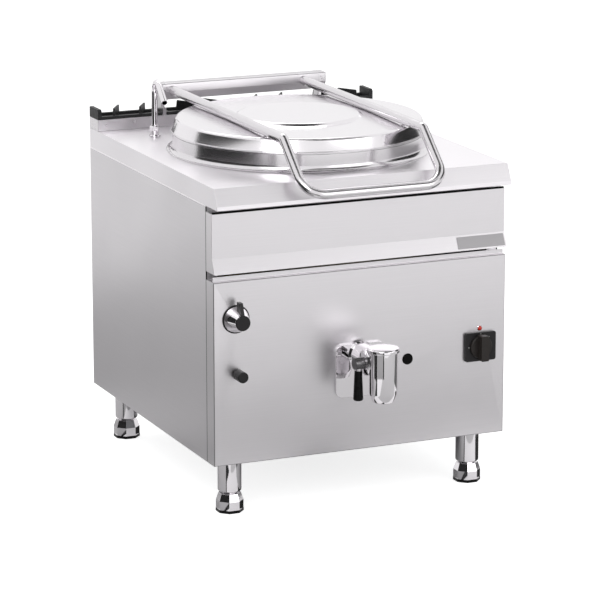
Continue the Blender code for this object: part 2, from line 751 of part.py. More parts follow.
def pan_vessel():
    """Deep round pan with a flat rim that sits on the collar."""
    rim = PAN_RADIUS + RIM_WIDTH
    outline = pan_inside(PAN_WALL)
    outline += [(PAN_RADIUS + PAN_WALL, rim_top - PAN_WALL), (rim, rim_top - PAN_WALL), (rim, rim_top),
                (PAN_RADIUS, rim_top)]
    outline += list(reversed(pan_inside(0.0)))
    pan = turned("pan_vessel", outline, ROUND_SIDES, polished_steel, (0.0, pan_y, 0.0))
    cut(pan, drain_tool("pan_vessel_outlet", DRAIN_BORE + DRAIN_WALL + GAP,
                        pan_y - PAN_RADIUS - OVERRUN, drain_inner_end() + GAP))


def drain_inner_end():
    return pan_y - PAN_RADIUS + PAN_CORNER


def steam_jacket():
    """Outer shell round the lower pan: the steam space lies between the two."""
    inner = (PAN_RADIUS + PAN_WALL + GAP) / math.cos(math.pi / HIDDEN_SIDES)
    top = base + JACKET_TOP
    floor = pan_floor - PAN_WALL - JACKET_FLOOR_SPACE
    outline = [(0.0, floor - JACKET_WALL)]
    outline += arc(jacket_radius - JACKET_CORNER, floor - JACKET_WALL + JACKET_CORNER, JACKET_CORNER,
                   -math.pi / 2, 0.0, HIDDEN_BEND_STEPS)
    outline += [(jacket_radius, top), (inner, top), (inner, top - JACKET_WALL),
                (jacket_radius - JACKET_WALL, top - JACKET_WALL)]
    outline += arc(jacket_radius - JACKET_CORNER, floor + JACKET_CORNER - JACKET_WALL,
                   JACKET_CORNER - JACKET_WALL, 0.0, -math.pi / 2, HIDDEN_BEND_STEPS)
    outline.append((0.0, floor))
    jacket = turned("steam_jacket", outline, HIDDEN_SIDES, galvanised, (0.0, pan_y, 0.0))
    cut(jacket, drain_tool("steam_jacket_outlet", DRAIN_BORE + DRAIN_WALL + GAP,
                           pan_y - jacket_radius - OVERRUN, pan_y - PAN_RADIUS))


def jacket_insulation():
    """Mineral wool band round the jacket's upper part."""
    inner = jacket_radius + GAP
    outer = inner + WOOL_THICKNESS
    low = base + WOOL_LOW
    top = base + JACKET_TOP
    outline = [(inner, low), (outer, low), (outer, top), (inner, top)]
    return turned("jacket_insulation", outline, HIDDEN_SIDES, mineral_wool, (0.0, pan_y, 0.0))


def firebox_radius():
    return jacket_radius + FIREBOX_CLEARANCE + SHEET


def firebox_shell():
    """Round skirt that keeps the flame's heat round the jacket's foot."""
    outer = firebox_radius()
    low = frame_floor + GAP
    top = base + FIREBOX_TOP
    outline = [(outer - SHEET, low), (outer, low), (outer, top), (outer - SHEET, top)]
    shell = turned("firebox_shell", outline, HIDDEN_SIDES, galvanised, (0.0, pan_y, 0.0))
    cut(shell, drain_tool("firebox_drain", DRAIN_BORE + DRAIN_WALL + GAP,
                          pan_y - outer - OVERRUN, pan_y - jacket_radius))
    window = DUCT_WIDTH / 2 - SHEET
    cut(shell, block("firebox_flue", (-window, pan_y + jacket_radius / 2, base + DUCT_BOTTOM + SHEET),
                     (window, back, base + DUCT_NECK_TOP - SHEET), galvanised))
    feed_x = burner_feed_x()
    feed_z = burner_z()
    cut(shell, rod("firebox_feed", (feed_x, pan_y, feed_z), (feed_x, pan_y - outer - OVERRUN, feed_z),
                   BURNER_TUBE_RADIUS + GAP, SMALL_SIDES, galvanised))


def burner_z():
    return frame_floor + GAP + BURNER_FOOT_HEIGHT + BURNER_TUBE_RADIUS


def burner_feed_x():
    return -BURNER_RING_RADIUS


def gas_burner():
    """Round tube burner with a feed tube, three feet and the pilot jet in line with the sight hole."""
    z = burner_z()
    section = arc(BURNER_RING_RADIUS, 0.0, BURNER_TUBE_RADIUS, 0.0, math.tau, 10)[:-1]
    ring = turned("gas_burner", section, BORE_SIDES, cast_iron, (0.0, pan_y, z))
    end = feed_end()
    feed = rod("gas_burner_feed", (burner_feed_x(), pan_y, z), end, BURNER_TUBE_RADIUS, 10, cast_iron)
    weld(ring, feed)
    feet = bmesh.new()
    for number in range(BURNER_FEET):
        angle = math.tau * (number + 0.5) / BURNER_FEET
        x = BURNER_RING_RADIUS * math.cos(angle)
        y = pan_y + BURNER_RING_RADIUS * math.sin(angle)
        add_rod(feet, (x, y, frame_floor + GAP), (x, y, z), BURNER_FOOT_RADIUS, 8)
    weld(ring, settle("gas_burner_feet", feet, cast_iron))
    sight = Vector((SIGHT_OFFSET, -math.sqrt(pilot_radius() ** 2 - SIGHT_OFFSET ** 2), 0.0))
    x, y = sight.x, pan_y + sight.y
    jet = rod("pilot_jet", (x, y, z - BURNER_TUBE_RADIUS), (x, y, z + 2 * BURNER_TUBE_RADIUS),
              BURNER_FOOT_RADIUS, 8, cast_iron)
    weld(ring, jet)
    outer = sight.normalized() * BURNER_RING_RADIUS
    weld(ring, rod("pilot_arm", (x, y, z), (outer.x, pan_y + outer.y, z), BURNER_FOOT_RADIUS / 2, 8, cast_iron))


def feed_end():
    """Where the burner's feed tube ends, just outside the firebox."""
    x = burner_feed_x()
    y = pan_y - math.sqrt(firebox_radius() ** 2 - x ** 2) - OVERRUN
    return Vector((x, y, burner_z()))


def pilot_radius():
    """How far the pilot jet stands from the burner's middle."""
    return BURNER_RING_RADIUS - BURNER_TUBE_RADIUS - BURNER_FOOT_RADIUS * 2


def flue_duct():
    """Sheet duct from the firebox up to the riser, open at both ends."""
    half = DUCT_WIDTH / 2
    front = riser_front + DUCT_MARGIN
    rear = back - 2 * (SHEET + GAP)
    low, top = base + DUCT_BOTTOM, deck - SHEET - GAP
    neck_top = base + DUCT_NECK_TOP
    neck_front = pan_y + firebox_radius() + GAP
    outer = [(-half, neck_front, low), (-half, rear, low), (-half, rear, top), (-half, front, top),
             (-half, front, neck_top), (-half, neck_front, neck_top)]
    duct = extruded("flue_duct", outer, (DUCT_WIDTH, 0.0, 0.0), galvanised)
    x = -half + SHEET
    inner = [(x, neck_front - OVERRUN, low + SHEET), (x, rear - SHEET, low + SHEET),
             (x, rear - SHEET, top + OVERRUN), (x, front + SHEET, top + OVERRUN),
             (x, front + SHEET, neck_top - SHEET), (x, neck_front - OVERRUN, neck_top - SHEET)]
    cut(duct, extruded("flue_duct_inside", inner, (DUCT_WIDTH - 2 * SHEET, 0.0, 0.0), galvanised))


def gas_inlet():
    """The gas inlet's place in the back panel."""
    return (left + KNOB_X, back - SHEET - GAP, base + WOOL_LOW / 2)


def water_inlet():
    """The water inlet's place in the back panel."""
    return (left + WATER_X, back - SHEET - GAP, cabinet_top - RAIL_HEIGHT * 2)


def gas_valve():
    """Gas valve behind the control knob, with a bore for the knob's stem."""
    x, z = left + KNOB_X, base + KNOB_Z
    front = panel_back + GAP
    valve = block("gas_valve", (x - VALVE_WIDTH / 2, front, z - VALVE_HEIGHT / 2),
                  (x + VALVE_WIDTH / 2, front + VALVE_DEPTH, z + VALVE_HEIGHT / 2), brass)
    cut(valve, rod("gas_valve_bore", (x, front - OVERRUN, z), (x, front + VALVE_DEPTH / 2, z),
                   STEM_RADIUS + RUNNING, SMALL_SIDES, brass))


def gas_pipes():
    """Supply pipe from the back panel to the valve, and burner pipe from the valve to the burner."""
    x, inlet_y, inlet_z = gas_inlet()
    valve_y = panel_back + GAP + VALVE_DEPTH
    valve_z = base + KNOB_Z + VALVE_HEIGHT / 4
    run_x = left + SHEET + GAP + PIPE_RADIUS * 2
    step = PIPE_BEND * 2
    narrow = (x - run_x) * 0.45
    corners = [(x, inlet_y, inlet_z), (x, inlet_y - step, inlet_z), (run_x, inlet_y - step, inlet_z),
               (run_x, inlet_y - 2 * step, inlet_z), (run_x, inlet_y - 2 * step, valve_z),
               (run_x, valve_y + step, valve_z), (x, valve_y + step, valve_z), (x, valve_y + GAP, valve_z)]
    radii = [narrow, narrow, PIPE_BEND / 2, PIPE_BEND, narrow, narrow]
    tube("gas_supply_pipe", bent_path(corners, radii), PIPE_RADIUS, 1, brass)
    start_x = x + VALVE_WIDTH / 2 + GAP
    start_y = panel_back + GAP + VALVE_DEPTH / 2
    start_z = base + KNOB_Z
    end = feed_end()
    corners = [(start_x, start_y, start_z), (end.x, start_y, start_z), (end.x, start_y, end.z),
               (end.x, end.y - GAP, end.z)]
    tube("gas_burner_pipe", bent_path(corners, [PIPE_BEND, PIPE_BEND]), PIPE_RADIUS, 1, brass)


def safety_valve(wool):
    """Relief valve of the steam space, on a short pipe that passes through the wool."""
    x, y, z = left + RELIEF_X, side_front + RELIEF_SETBACK, base + RELIEF_Z
    outline = [(0.0, 0.0), (RELIEF_RADIUS, 0.0), (RELIEF_RADIUS, RELIEF_HEIGHT * 0.6),
               (RELIEF_RADIUS * 0.6, RELIEF_HEIGHT * 0.75), (RELIEF_RADIUS * 0.6, RELIEF_HEIGHT),
               (0.0, RELIEF_HEIGHT)]
    valve = turned("safety_valve", outline, SMALL_SIDES, brass, (x, y, z))
    centre = Vector((0.0, pan_y, z + RELIEF_RADIUS))
    start = Vector((x, y, z + RELIEF_RADIUS))
    toward = (centre - start).normalized()
    end = centre - toward * (jacket_radius + GAP)
    weld(valve, rod("safety_valve_pipe", start, end, PIPE_RADIUS, SMALL_SIDES, brass))
    inner_end = centre - toward * (jacket_radius - OVERRUN)
    cut(wool, rod("jacket_insulation_hole", start, inner_end, PIPE_RADIUS + GAP, SMALL_SIDES, mineral_wool))


# Drain and tap

def drain_pipe():
    """Straight pipe from the pan's lowest front corner to the tap."""
    pipe = drain_tool("drain_pipe", DRAIN_BORE + DRAIN_WALL, panel_face, drain_inner_end())
    pipe.data.materials.clear()
    pipe.data.materials.append(polished_steel)
    cut(pipe, drain_tool("drain_pipe_bore", DRAIN_BORE, panel_face - OVERRUN, drain_inner_end() + OVERRUN))
    mouth = pan_inside(0.0)
    mouth.append((PAN_RADIUS, rim_top))
    mouth.append((0.0, rim_top))
    cut(pipe, turned("drain_pipe_mouth", mouth, ROUND_SIDES, polished_steel, (0.0, pan_y, 0.0)))


def tap_escutcheon():
    """Square chrome plate with round corners between the panel and the tap."""
    middle_z = tap_z - ESCUTCHEON_DROP
    start = panel_face - GAP
    outline = [(a, start, b) for a, b in
               rounded_rectangle(TAP_X, middle_z, ESCUTCHEON, ESCUTCHEON, ESCUTCHEON_CORNER)]
    plate = extruded("tap_escutcheon", outline, (0.0, -ESCUTCHEON_THICKNESS, 0.0), chrome)
    cut(plate, drain_tool("tap_escutcheon_hole", BARREL_RADIUS + GAP, start - OVERRUN, start + OVERRUN))


def tap_body():
    """Chromed tap: barrel from the panel, boss for the plug, and the outlet that points down."""
    outline = [(0.0, SPOUT_BOTTOM), (SPOUT_MOUTH_RADIUS, SPOUT_BOTTOM), (SPOUT_BODY_RADIUS, SPOUT_SHOULDER),
               (SPOUT_BODY_RADIUS, SPOUT_TOP - SPOUT_CAP_HEIGHT), (SPOUT_CAP_RADIUS, SPOUT_TOP - SPOUT_CAP_HEIGHT),
               (SPOUT_CAP_RADIUS, SPOUT_TOP - SHEET), (SPOUT_CAP_RADIUS - SHEET, SPOUT_TOP), (0.0, SPOUT_TOP)]
    body = turned("tap_body", outline, BORE_SIDES, chrome, (TAP_X, tap_y, base))
    weld(body, drain_tool("tap_body_barrel", BARREL_RADIUS, panel_face - GAP, tap_y))
    start = TAP_X - PLUG_BOSS_LEFT
    end = TAP_X + PLUG_BOSS_RIGHT
    weld(body, rod("tap_body_boss", (start, lever_y, lever_z), (end, lever_y, lever_z),
                   PLUG_BOSS_RADIUS, BORE_SIDES, chrome))
    cut(body, drain_tool("tap_body_bore", DRAIN_BORE, panel_face + OVERRUN, tap_y))
    cut(body, rod("tap_body_outlet", (TAP_X, tap_y, base + SPOUT_BOTTOM - OVERRUN),
                  (TAP_X, tap_y, base + SPOUT_TOP - SPOUT_ROOF), SPOUT_BORE, BORE_SIDES, chrome))
    cut(body, rod("tap_body_plug_bore", (start - OVERRUN, lever_y, lever_z),
                  (end - FRAME_SHEET, lever_y, lever_z), PLUG_RADIUS + RUNNING, BORE_SIDES, chrome))


def tap_plug():
    """Turning plug of the tap, with its port and its spindle."""
    start = TAP_X - PLUG_BOSS_LEFT
    end = TAP_X + PLUG_BOSS_RIGHT - FRAME_SHEET - GAP
    plug = rod("tap_plug", (start, lever_y, lever_z), (end, lever_y, lever_z), PLUG_RADIUS, BORE_SIDES, chrome)
    hub_face = start - HUB_STANDOFF
    weld(plug, rod("tap_plug_spindle", (hub_face - HUB_THICKNESS / 2, lever_y, lever_z), (TAP_X, lever_y, lever_z),
                   SPINDLE_RADIUS, SMALL_SIDES, chrome))
    cut(plug, rod("tap_plug_port", (TAP_X, lever_y, lever_z - 2 * PLUG_RADIUS),
                  (TAP_X, lever_y, lever_z + 2 * PLUG_RADIUS), PLUG_PORT, SMALL_SIDES, chrome))
    return plug


def lever_x():
    """The lever's middle plane, to the left of the tap."""
    return TAP_X - PLUG_BOSS_LEFT - HUB_STANDOFF - HUB_THICKNESS / 2


def lever_hub():
    """Round hub on the spindle with the shank that carries the grip."""
    x = lever_x()
    half = HUB_THICKNESS / 2
    hub = rod("lever_hub", (x - half, lever_y, lever_z), (x + half, lever_y, lever_z), HUB_RADIUS,
              BORE_SIDES, chrome)
    weld(hub, rod("lever_hub_shank", (x, lever_y, lever_z - HUB_RADIUS / 2),
                  (x, lever_y, lever_z - SHANK_LENGTH - GRIP_LENGTH / 3), SHANK_RADIUS, SMALL_SIDES, chrome))
    cut(hub, rod("lever_hub_bore", (x - GAP - half / 3, lever_y, lever_z), (x + half + OVERRUN, lever_y, lever_z),
                 SPINDLE_RADIUS + GAP, SMALL_SIDES, chrome))
    return hub


def lever_grip():
    """Black tapered hand grip on the lever's shank."""
    x = lever_x()
    end = GRIP_LENGTH / 3 + GAP
    outline = [(SHANK_RADIUS + GAP, 0.0), (GRIP_TOP_RADIUS, 0.0), (GRIP_END_RADIUS, -GRIP_LENGTH + GRIP_DOME),
               (GRIP_END_RADIUS - GRIP_DOME, -GRIP_LENGTH), (0.0, -GRIP_LENGTH), (0.0, -end),
               (SHANK_RADIUS + GAP, -end)]
    return turned("lever_grip", outline, SMALL_SIDES, black_plastic, (x, lever_y, lever_z - SHANK_LENGTH))


def tap():
    tap_escutcheon()
    tap_body()
    pivot = pivot_at("tap_lever_pivot", (TAP_X, lever_y, lever_z))
    for piece in (tap_plug(), lever_hub(), lever_grip()):
        hang(piece, pivot)


# Controls

def front_turned(name, outline, sides, finish, x, z, lead=0.0):
    """A turned piece whose axis points out of the front panel, heights counted from the panel."""
    return turned(name, outline, sides, finish, panel_point(x, z, lead), (math.pi / 2, 0.0, 0.0))


def control_knob():
    """Gas control: fixed black bezel, chrome cone with its stem, black cap and pointer."""
    stem_hole = STEM_RADIUS + RUNNING
    outline = [(stem_hole, GAP), (BEZEL_RADIUS, GAP), (BEZEL_RADIUS - SHEET, BEZEL_THICKNESS), (stem_hole, BEZEL_THICKNESS)]
    front_turned("knob_bezel", outline, BORE_SIDES, black_plastic, KNOB_X, KNOB_Z)
    low = BEZEL_THICKNESS + GAP
    top = low + KNOB_LENGTH
    outline = [(0.0, -VALVE_DEPTH / 3), (STEM_RADIUS, -VALVE_DEPTH / 3), (STEM_RADIUS, low), (KNOB_BASE_RADIUS, low),
               (KNOB_BASE_RADIUS, low + SHEET), (KNOB_NOSE_RADIUS, top), (0.0, top)]
    cone = front_turned("control_knob", outline, BORE_SIDES, chrome, KNOB_X, KNOB_Z)
    outline = [(0.0, top + GAP), (KNOB_NOSE_RADIUS, top + GAP), (KNOB_NOSE_RADIUS, top + KNOB_CAP_THICKNESS - SHEET),
               (KNOB_NOSE_RADIUS - SHEET, top + KNOB_CAP_THICKNESS), (0.0, top + KNOB_CAP_THICKNESS)]
    cap = front_turned("knob_cap", outline, BORE_SIDES, black_plastic, KNOB_X, KNOB_Z)
    weld(cap, pointer("knob_cap_pointer", top, 0.0))
    cut(cone, pointer("control_knob_slot", top, GAP))
    pivot = pivot_at("control_knob_pivot", panel_point(KNOB_X, KNOB_Z))
    for piece in (cone, cap):
        hang(piece, pivot)


def pointer(name, top, grow):
    """The knob's upright pointer fin, let into the cone, or its slot when grown by a gap."""
    half = POINTER_WIDTH / 2 + grow
    front = top + SHEET + grow
    peak = top - POINTER_SETBACK
    rear = peak - POINTER_DEPTH - grow
    high = POINTER_TOP + grow
    root = KNOB_NOSE_RADIUS - POINTER_ROOT - grow
    profile = [(front, root), (front, KNOB_NOSE_RADIUS - SHEET), (peak, high), (rear, high), (rear, KNOB_BASE_RADIUS - POINTER_ROOT),
               (rear + POINTER_DEPTH / 2, root)]
    outline = [panel_point(KNOB_X - half, KNOB_Z + height, lead) for lead, height in profile]
    return extruded(name, outline, (2 * half, 0.0, 0.0), black_plastic)


def igniter():
    """Piezo igniter behind the panel and the long push button that works it."""
    x, z = left + BUTTON_X, base + BUTTON_Z
    start = panel_back + GAP
    body = rod("piezo_igniter", (x, start, z), (x, start + IGNITER_DEPTH, z), IGNITER_RADIUS, SMALL_SIDES, black_plastic)
    cut(body, rod("piezo_igniter_bore", (x, start - OVERRUN, z), (x, start + IGNITER_DEPTH / 2, z),
                  STEM_RADIUS + RUNNING, SMALL_SIDES, black_plastic))
    low = BUTTON_TRAVEL + GAP
    top = low + BUTTON_LENGTH
    outline = [(0.0, -IGNITER_DEPTH / 4), (STEM_RADIUS, -IGNITER_DEPTH / 4), (STEM_RADIUS, low), (BUTTON_RADIUS, low),
               (BUTTON_RADIUS, top - SHEET), (BUTTON_RADIUS - SHEET, top), (0.0, top)]
    front_turned("igniter_button", outline, BORE_SIDES, black_plastic, BUTTON_X, BUTTON_Z)


def sight_plug():
    """Black plug that closes the sight hole in front of the pilot flame."""
    outer = SIGHT_RADIUS
    neck = SIGHT_RADIUS - SIGHT_PROUD
    outline = [(0.0, -2 * SHEET), (neck, -2 * SHEET), (neck, GAP), (outer, GAP), (outer, SIGHT_PROUD / 2),
               (outer - SIGHT_PROUD / 2, SIGHT_PROUD), (0.0, SIGHT_PROUD)]
    front_turned("sight_plug", outline, BORE_SIDES, black_plastic, SIGHT_X, SIGHT_Z)


def pilot_lamp():
    """Red lamp with a domed lens."""
    neck = LAMP_RADIUS - SHEET
    dome = arc(0.0, GAP + SHEET, LAMP_RADIUS, 0.0, math.pi / 2, 4)
    outline = [(0.0, -4 * LAMP_RADIUS), (neck, -4 * LAMP_RADIUS), (neck, GAP), (LAMP_RADIUS, GAP)] + dome[:-1]
    outline.append((0.0, GAP + SHEET + LAMP_RADIUS))
    front_turned("pilot_lamp", outline, SMALL_SIDES, red_lens, SWITCH_X, LAMP_Z)


def main_switch():
    """Rotary main switch: body with its face plate, and the turning disc with its grip bar."""
    x, y, z = panel_point(SWITCH_X, SWITCH_Z, GAP)
    outline = [(a, y, b) for a, b in rounded_rectangle(x, z, SWITCH_WIDTH, SWITCH_HEIGHT, SWITCH_CORNER)]
    body = extruded("switch_body", outline, (0.0, -SWITCH_THICKNESS, 0.0), black_plastic)
    start = panel_back + GAP
    weld(body, rod("switch_neck", (x, y - SWITCH_THICKNESS / 4, z), (x, start + SWITCH_BOX_DEPTH / 2, z),
                   SWITCH_NECK_RADIUS, BORE_SIDES, black_plastic))
    weld(body, block("switch_box", (x - SWITCH_BOX_WIDTH / 2, start, z - SWITCH_BOX_HEIGHT / 2),
                     (x + SWITCH_BOX_WIDTH / 2, start + SWITCH_BOX_DEPTH, z + SWITCH_BOX_HEIGHT / 2), black_plastic))
    recess = SWITCH_THICKNESS / 2
    cut(body, rod("switch_recess", (x, y - SWITCH_THICKNESS - OVERRUN, z), (x, y - recess, z),
                  SWITCH_DISC_RADIUS + RUNNING, ROUND_SIDES // 2, black_plastic))
    cut(body, rod("switch_bore", (x, y - SWITCH_THICKNESS, z), (x, start + SWITCH_BOX_DEPTH / 2, z),
                  STEM_RADIUS + RUNNING, SMALL_SIDES, black_plastic))
    low = GAP + recess + GAP
    top = GAP + recess + SWITCH_DISC_DEPTH
    outline = [(0.0, -SWITCH_BOX_DEPTH / 3), (STEM_RADIUS, -SWITCH_BOX_DEPTH / 3), (STEM_RADIUS, low),
               (SWITCH_DISC_RADIUS, low), (SWITCH_DISC_RADIUS, top - SHEET), (SWITCH_DISC_RADIUS - SHEET, top), (0.0, top)]
    disc = front_turned("switch_handle", outline, ROUND_SIDES // 2, black_plastic, SWITCH_X, SWITCH_Z)
    foot_y = panel_face - (low + top) / 2
    ends = [(a, foot_y, b) for a, b in
            rounded_rectangle(x, z, SWITCH_BAR_WIDTH, SWITCH_BAR_HEIGHT, SWITCH_CORNER / 2)]
    weld(disc, extruded("switch_handle_bar", ends, (0.0, panel_face - SWITCH_BAR_REACH - foot_y, 0.0), black_plastic))
    hang(disc, pivot_at("main_switch_pivot", panel_point(SWITCH_X, SWITCH_Z)))


# Lid, handle and hinge

def lid_surface(inset):
    """The lid's outer surface from its middle to its lower edge, moved inward by inset."""
    disc_top = lid_shoulder + DISC_RISE - inset
    shoulder = lid_shoulder - inset
    edge = lid_edge - inset
    bend = LID_ROUND - inset
    points = [(0.0, disc_top), (DISC_RADIUS, disc_top), (DISC_RADIUS + DISC_SLOPE, shoulder)]
    points += arc(LID_TOP_RADIUS - LID_ROUND, edge - bend, bend, math.pi / 2, 0.0, BEND_STEPS // 2)
    points.append((LID_RADIUS - inset, lid_bottom))
    return points


def lid_skin():
    """Pressed outer skin of the lid, with a raised disc and a skirt that flares down to the rim."""
    outline = lid_surface(0.0) + list(reversed(lid_surface(LID_SHEET)))
    return turned("lid_skin", outline, ROUND_SIDES, brushed_steel, (0.0, pan_y, 0.0))


def lid_liner():
    """Shallow inner tray of the lid, with its edge turned up inside the skirt."""
    rise = GAP + 2 * LID_SHEET
    low = lid_bottom + rise
    lean = (LID_RADIUS - LID_TOP_RADIUS) / (LID_HEIGHT - LID_ROUND)
    outer = LID_RADIUS - LID_SHEET - lean * rise - 2 * GAP
    top_radius = outer - lean * LINER_EDGE
    floor_radius = outer - lean * LID_SHEET
    outline = [(0.0, low), (outer, low), (top_radius, low + LINER_EDGE), (top_radius - LID_SHEET, low + LINER_EDGE),
               (floor_radius - LID_SHEET, low + LID_SHEET), (0.0, low + LID_SHEET)]
    return turned("lid_liner", outline, ROUND_SIDES, polished_steel, (0.0, pan_y, 0.0))


def lid_gasket():
    """Silicone ring between the lid's liner and the pan's rim."""
    middle = PAN_RADIUS + RIM_WIDTH / 2
    low = rim_top + GAP
    top = lid_bottom + 2 * LID_SHEET
    outline = [(middle - GASKET_WIDTH / 2, low), (middle + GASKET_WIDTH / 2, low),
               (middle + GASKET_WIDTH / 2, top), (middle - GASKET_WIDTH / 2, top)]
    return turned("lid_gasket", outline, ROUND_SIDES, white_silicone, (0.0, pan_y, 0.0))


def lid_handle():
    """One bent open-ended tube: two arms over the lid and a bar ahead of the nose, with two studs."""
    rear = hinge_y - HOUSING_FRONT - GAP
    knee = side_front + HANDLE_BEND_SETBACK
    bar = side_front - HANDLE_BAR_LEAD
    low = arm_z - HANDLE_BAR_DROP
    side = HANDLE_HALF_WIDTH
    corners = [(-side, rear, arm_z), (-side, knee, arm_z), (-side, bar, low), (side, bar, low),
               (side, knee, arm_z), (side, rear, arm_z)]
    path = bent_path(corners, [HANDLE_KNEE, HANDLE_CORNER, HANDLE_CORNER, HANDLE_KNEE])
    handle = tube("lid_handle", path, HANDLE_TUBE_RADIUS, 4, polished_steel)
    for side in (-1, 1):
        weld(handle, lid_stud(side))
    past = Vector((0.0, OVERRUN, 0.0))
    cut(handle, tube("lid_handle_bore", [path[0] + past] + path[1:-1] + [path[-1] + past],
                     HANDLE_TUBE_RADIUS - HANDLE_TUBE_WALL, 1, polished_steel))
    return handle


def stud_place(side):
    """A place on the lid's flat shoulder, straight under an arm and near the lid's front edge."""
    x = side * HANDLE_HALF_WIDTH
    y = pan_y - math.sqrt((LID_TOP_RADIUS - STUD_INSET) ** 2 - HANDLE_HALF_WIDTH ** 2)
    return x, y


def lid_stud(side):
    """Short stud, welded under an arm, that carries the lid."""
    x, y = stud_place(side)
    radius = math.hypot(x, y - pan_y)
    flat = DISC_RADIUS + DISC_SLOPE
    slope = LID_RISE / (LID_TOP_RADIUS - LID_ROUND - flat)
    low = lid_shoulder - slope * (radius - STUD_RADIUS - flat) + GAP
    return rod("lid_handle_stud", (x, y, low), (x, y, arm_z), STUD_RADIUS, STUD_SIDES, polished_steel)


def hinge_housing():
    """Folded cover across the back of the lid, round the hinge shaft and its springs."""
    front = hinge_y - HOUSING_FRONT
    rear = hinge_y + HOUSING_BACK
    top = hinge_z + HOUSING_UP
    knee = hinge_z - HOUSING_FACE_DROP
    low = hinge_z - HOUSING_DOWN
    t = HOUSING_SHEET
    corner = t * 2
    outer = [(rear, top - HOUSING_FALL), (hinge_y, top)]
    outer += [(y, z) for y, z in arc(front + corner, top - corner, corner, math.pi / 2, math.pi, 4)]
    outer += [(front, knee), (front + HOUSING_CHAMFER, low)]
    inner = [(front + HOUSING_CHAMFER + t, low), (front + t, knee)]
    inner += [(y, z) for y, z in arc(front + corner, top - corner, corner - t, math.pi, math.pi / 2, 4)]
    inner += [(hinge_y, top - t), (rear, top - HOUSING_FALL - t)]
    reach = HOUSING_WIDTH / 2 - HOUSING_SHEET - GAP
    outline = [(HOUSING_OFFSET - reach, y, z) for y, z in outer + inner]
    return extruded("hinge_housing", outline, (2 * reach, 0.0, 0.0), brushed_steel)


def housing_end(name, side):
    """Flat end plate that closes the housing and carries the shaft."""
    front = hinge_y - HOUSING_FRONT
    rear = hinge_y + HOUSING_BACK
    top = hinge_z + HOUSING_UP
    low = hinge_z - HOUSING_DOWN
    corner = HOUSING_SHEET * 2
    start = HOUSING_OFFSET + side * HOUSING_WIDTH / 2
    outline = [(rear, top - HOUSING_FALL), (hinge_y, top)]
    outline += arc(front + corner, top - corner, corner, math.pi / 2, math.pi, 3)
    outline += [(front, hinge_z - HOUSING_FACE_DROP), (front + HOUSING_CHAMFER, low)]
    outline += arc(hinge_y, hinge_z, HOUSING_DOWN, -math.pi / 2, 0.0, BEND_STEPS)
    outline.append((rear, hinge_z))
    return extruded(name, [(start, y, z) for y, z in outline], (-side * HOUSING_SHEET, 0.0, 0.0), brushed_steel)


def hinge_shaft():
    """Round shaft between the two end plates, which turns in the posts."""
    reach = HOUSING_WIDTH / 2 - HOUSING_SHEET - GAP
    return rod("hinge_shaft", (HOUSING_OFFSET - reach, hinge_y, hinge_z), (HOUSING_OFFSET + reach, hinge_y, hinge_z),
               SHAFT_RADIUS, SMALL_SIDES, polished_steel)


def hinge_post(name, side):
    """Bearing post on the riser, with a foot in the grate's notch and a round ear for the shaft."""
    x = post_x(side) - POST_WIDTH / 2
    low = riser_top + GAP
    foot_top = low + POST_FOOT_HEIGHT
    front = riser_front
    outline = [(front, low), (hinge_y + POST_EAR_RADIUS, low), (hinge_y + POST_EAR_RADIUS, hinge_z)]
    outline += arc(hinge_y, hinge_z, POST_EAR_RADIUS, 0.0, math.pi, 2 * BEND_STEPS)[1:]
    outline += [(hinge_y - POST_EAR_RADIUS, foot_top), (front, foot_top)]
    post = extruded(name, [(x, y, z) for y, z in outline], (POST_WIDTH, 0.0, 0.0), brushed_steel)
    cut(post, rod(name + "_bore", (x - OVERRUN, hinge_y, hinge_z), (x + POST_WIDTH + OVERRUN, hinge_y, hinge_z),
                  SHAFT_RADIUS + RUNNING, SMALL_SIDES, brushed_steel))


def balance_spring(name, side):
    """Coil spring round the shaft, beside its post, that helps to lift the lid."""
    start = post_x(side) - side * (POST_WIDTH / 2 + GAP + SPRING_WIRE)
    steps = 10
    path = []
    for step in range(SPRING_TURNS * steps + 1):
        angle = math.tau * step / steps
        x = start - side * SPRING_PITCH * step / steps
        path.append(Vector((x, hinge_y + SPRING_RADIUS * math.cos(angle), hinge_z + SPRING_RADIUS * math.sin(angle))))
    tube(name, path, SPRING_WIRE, 0, spring_steel)


def lid_assembly():
    pivot = pivot_at("lid_pivot", (0.0, hinge_y, hinge_z))
    pieces = [lid_skin(), lid_liner(), lid_gasket(), lid_handle(), hinge_housing(), hinge_shaft(),
              housing_end("housing_end_left", -1), housing_end("housing_end_right", 1)]
    for piece in pieces:
        hang(piece, pivot)
    for name, side in (("left", -1), ("right", 1)):
        hinge_post("hinge_post_" + name, side)
        balance_spring("balance_spring_" + name, side)


# Water spout

def spout_base():
    """Threaded foot of the water spout: flange, neck and gland nut on the worktop."""
    bore = WATER_TUBE_RADIUS + RUNNING
    h = WATER_BASE_HEIGHT
    outline = [(bore, h / 8), (bore, h), (WATER_NUT_RADIUS * 0.8, h), (WATER_NUT_RADIUS, h * 0.92),
               (WATER_NUT_RADIUS, h * 0.55), (WATER_SHANK_RADIUS, h * 0.5), (WATER_SHANK_RADIUS, h * 0.35),
               (WATER_FLANGE_RADIUS, h * 0.25), (WATER_FLANGE_RADIUS, GAP), (WATER_SHANK_RADIUS, GAP),
               (WATER_SHANK_RADIUS, -WATER_SHANK_DROP), (0.0, -WATER_SHANK_DROP), (0.0, h / 8)]
    turned("spout_base", outline, SMALL_SIDES, chrome, (left + WATER_X, water_y, deck))


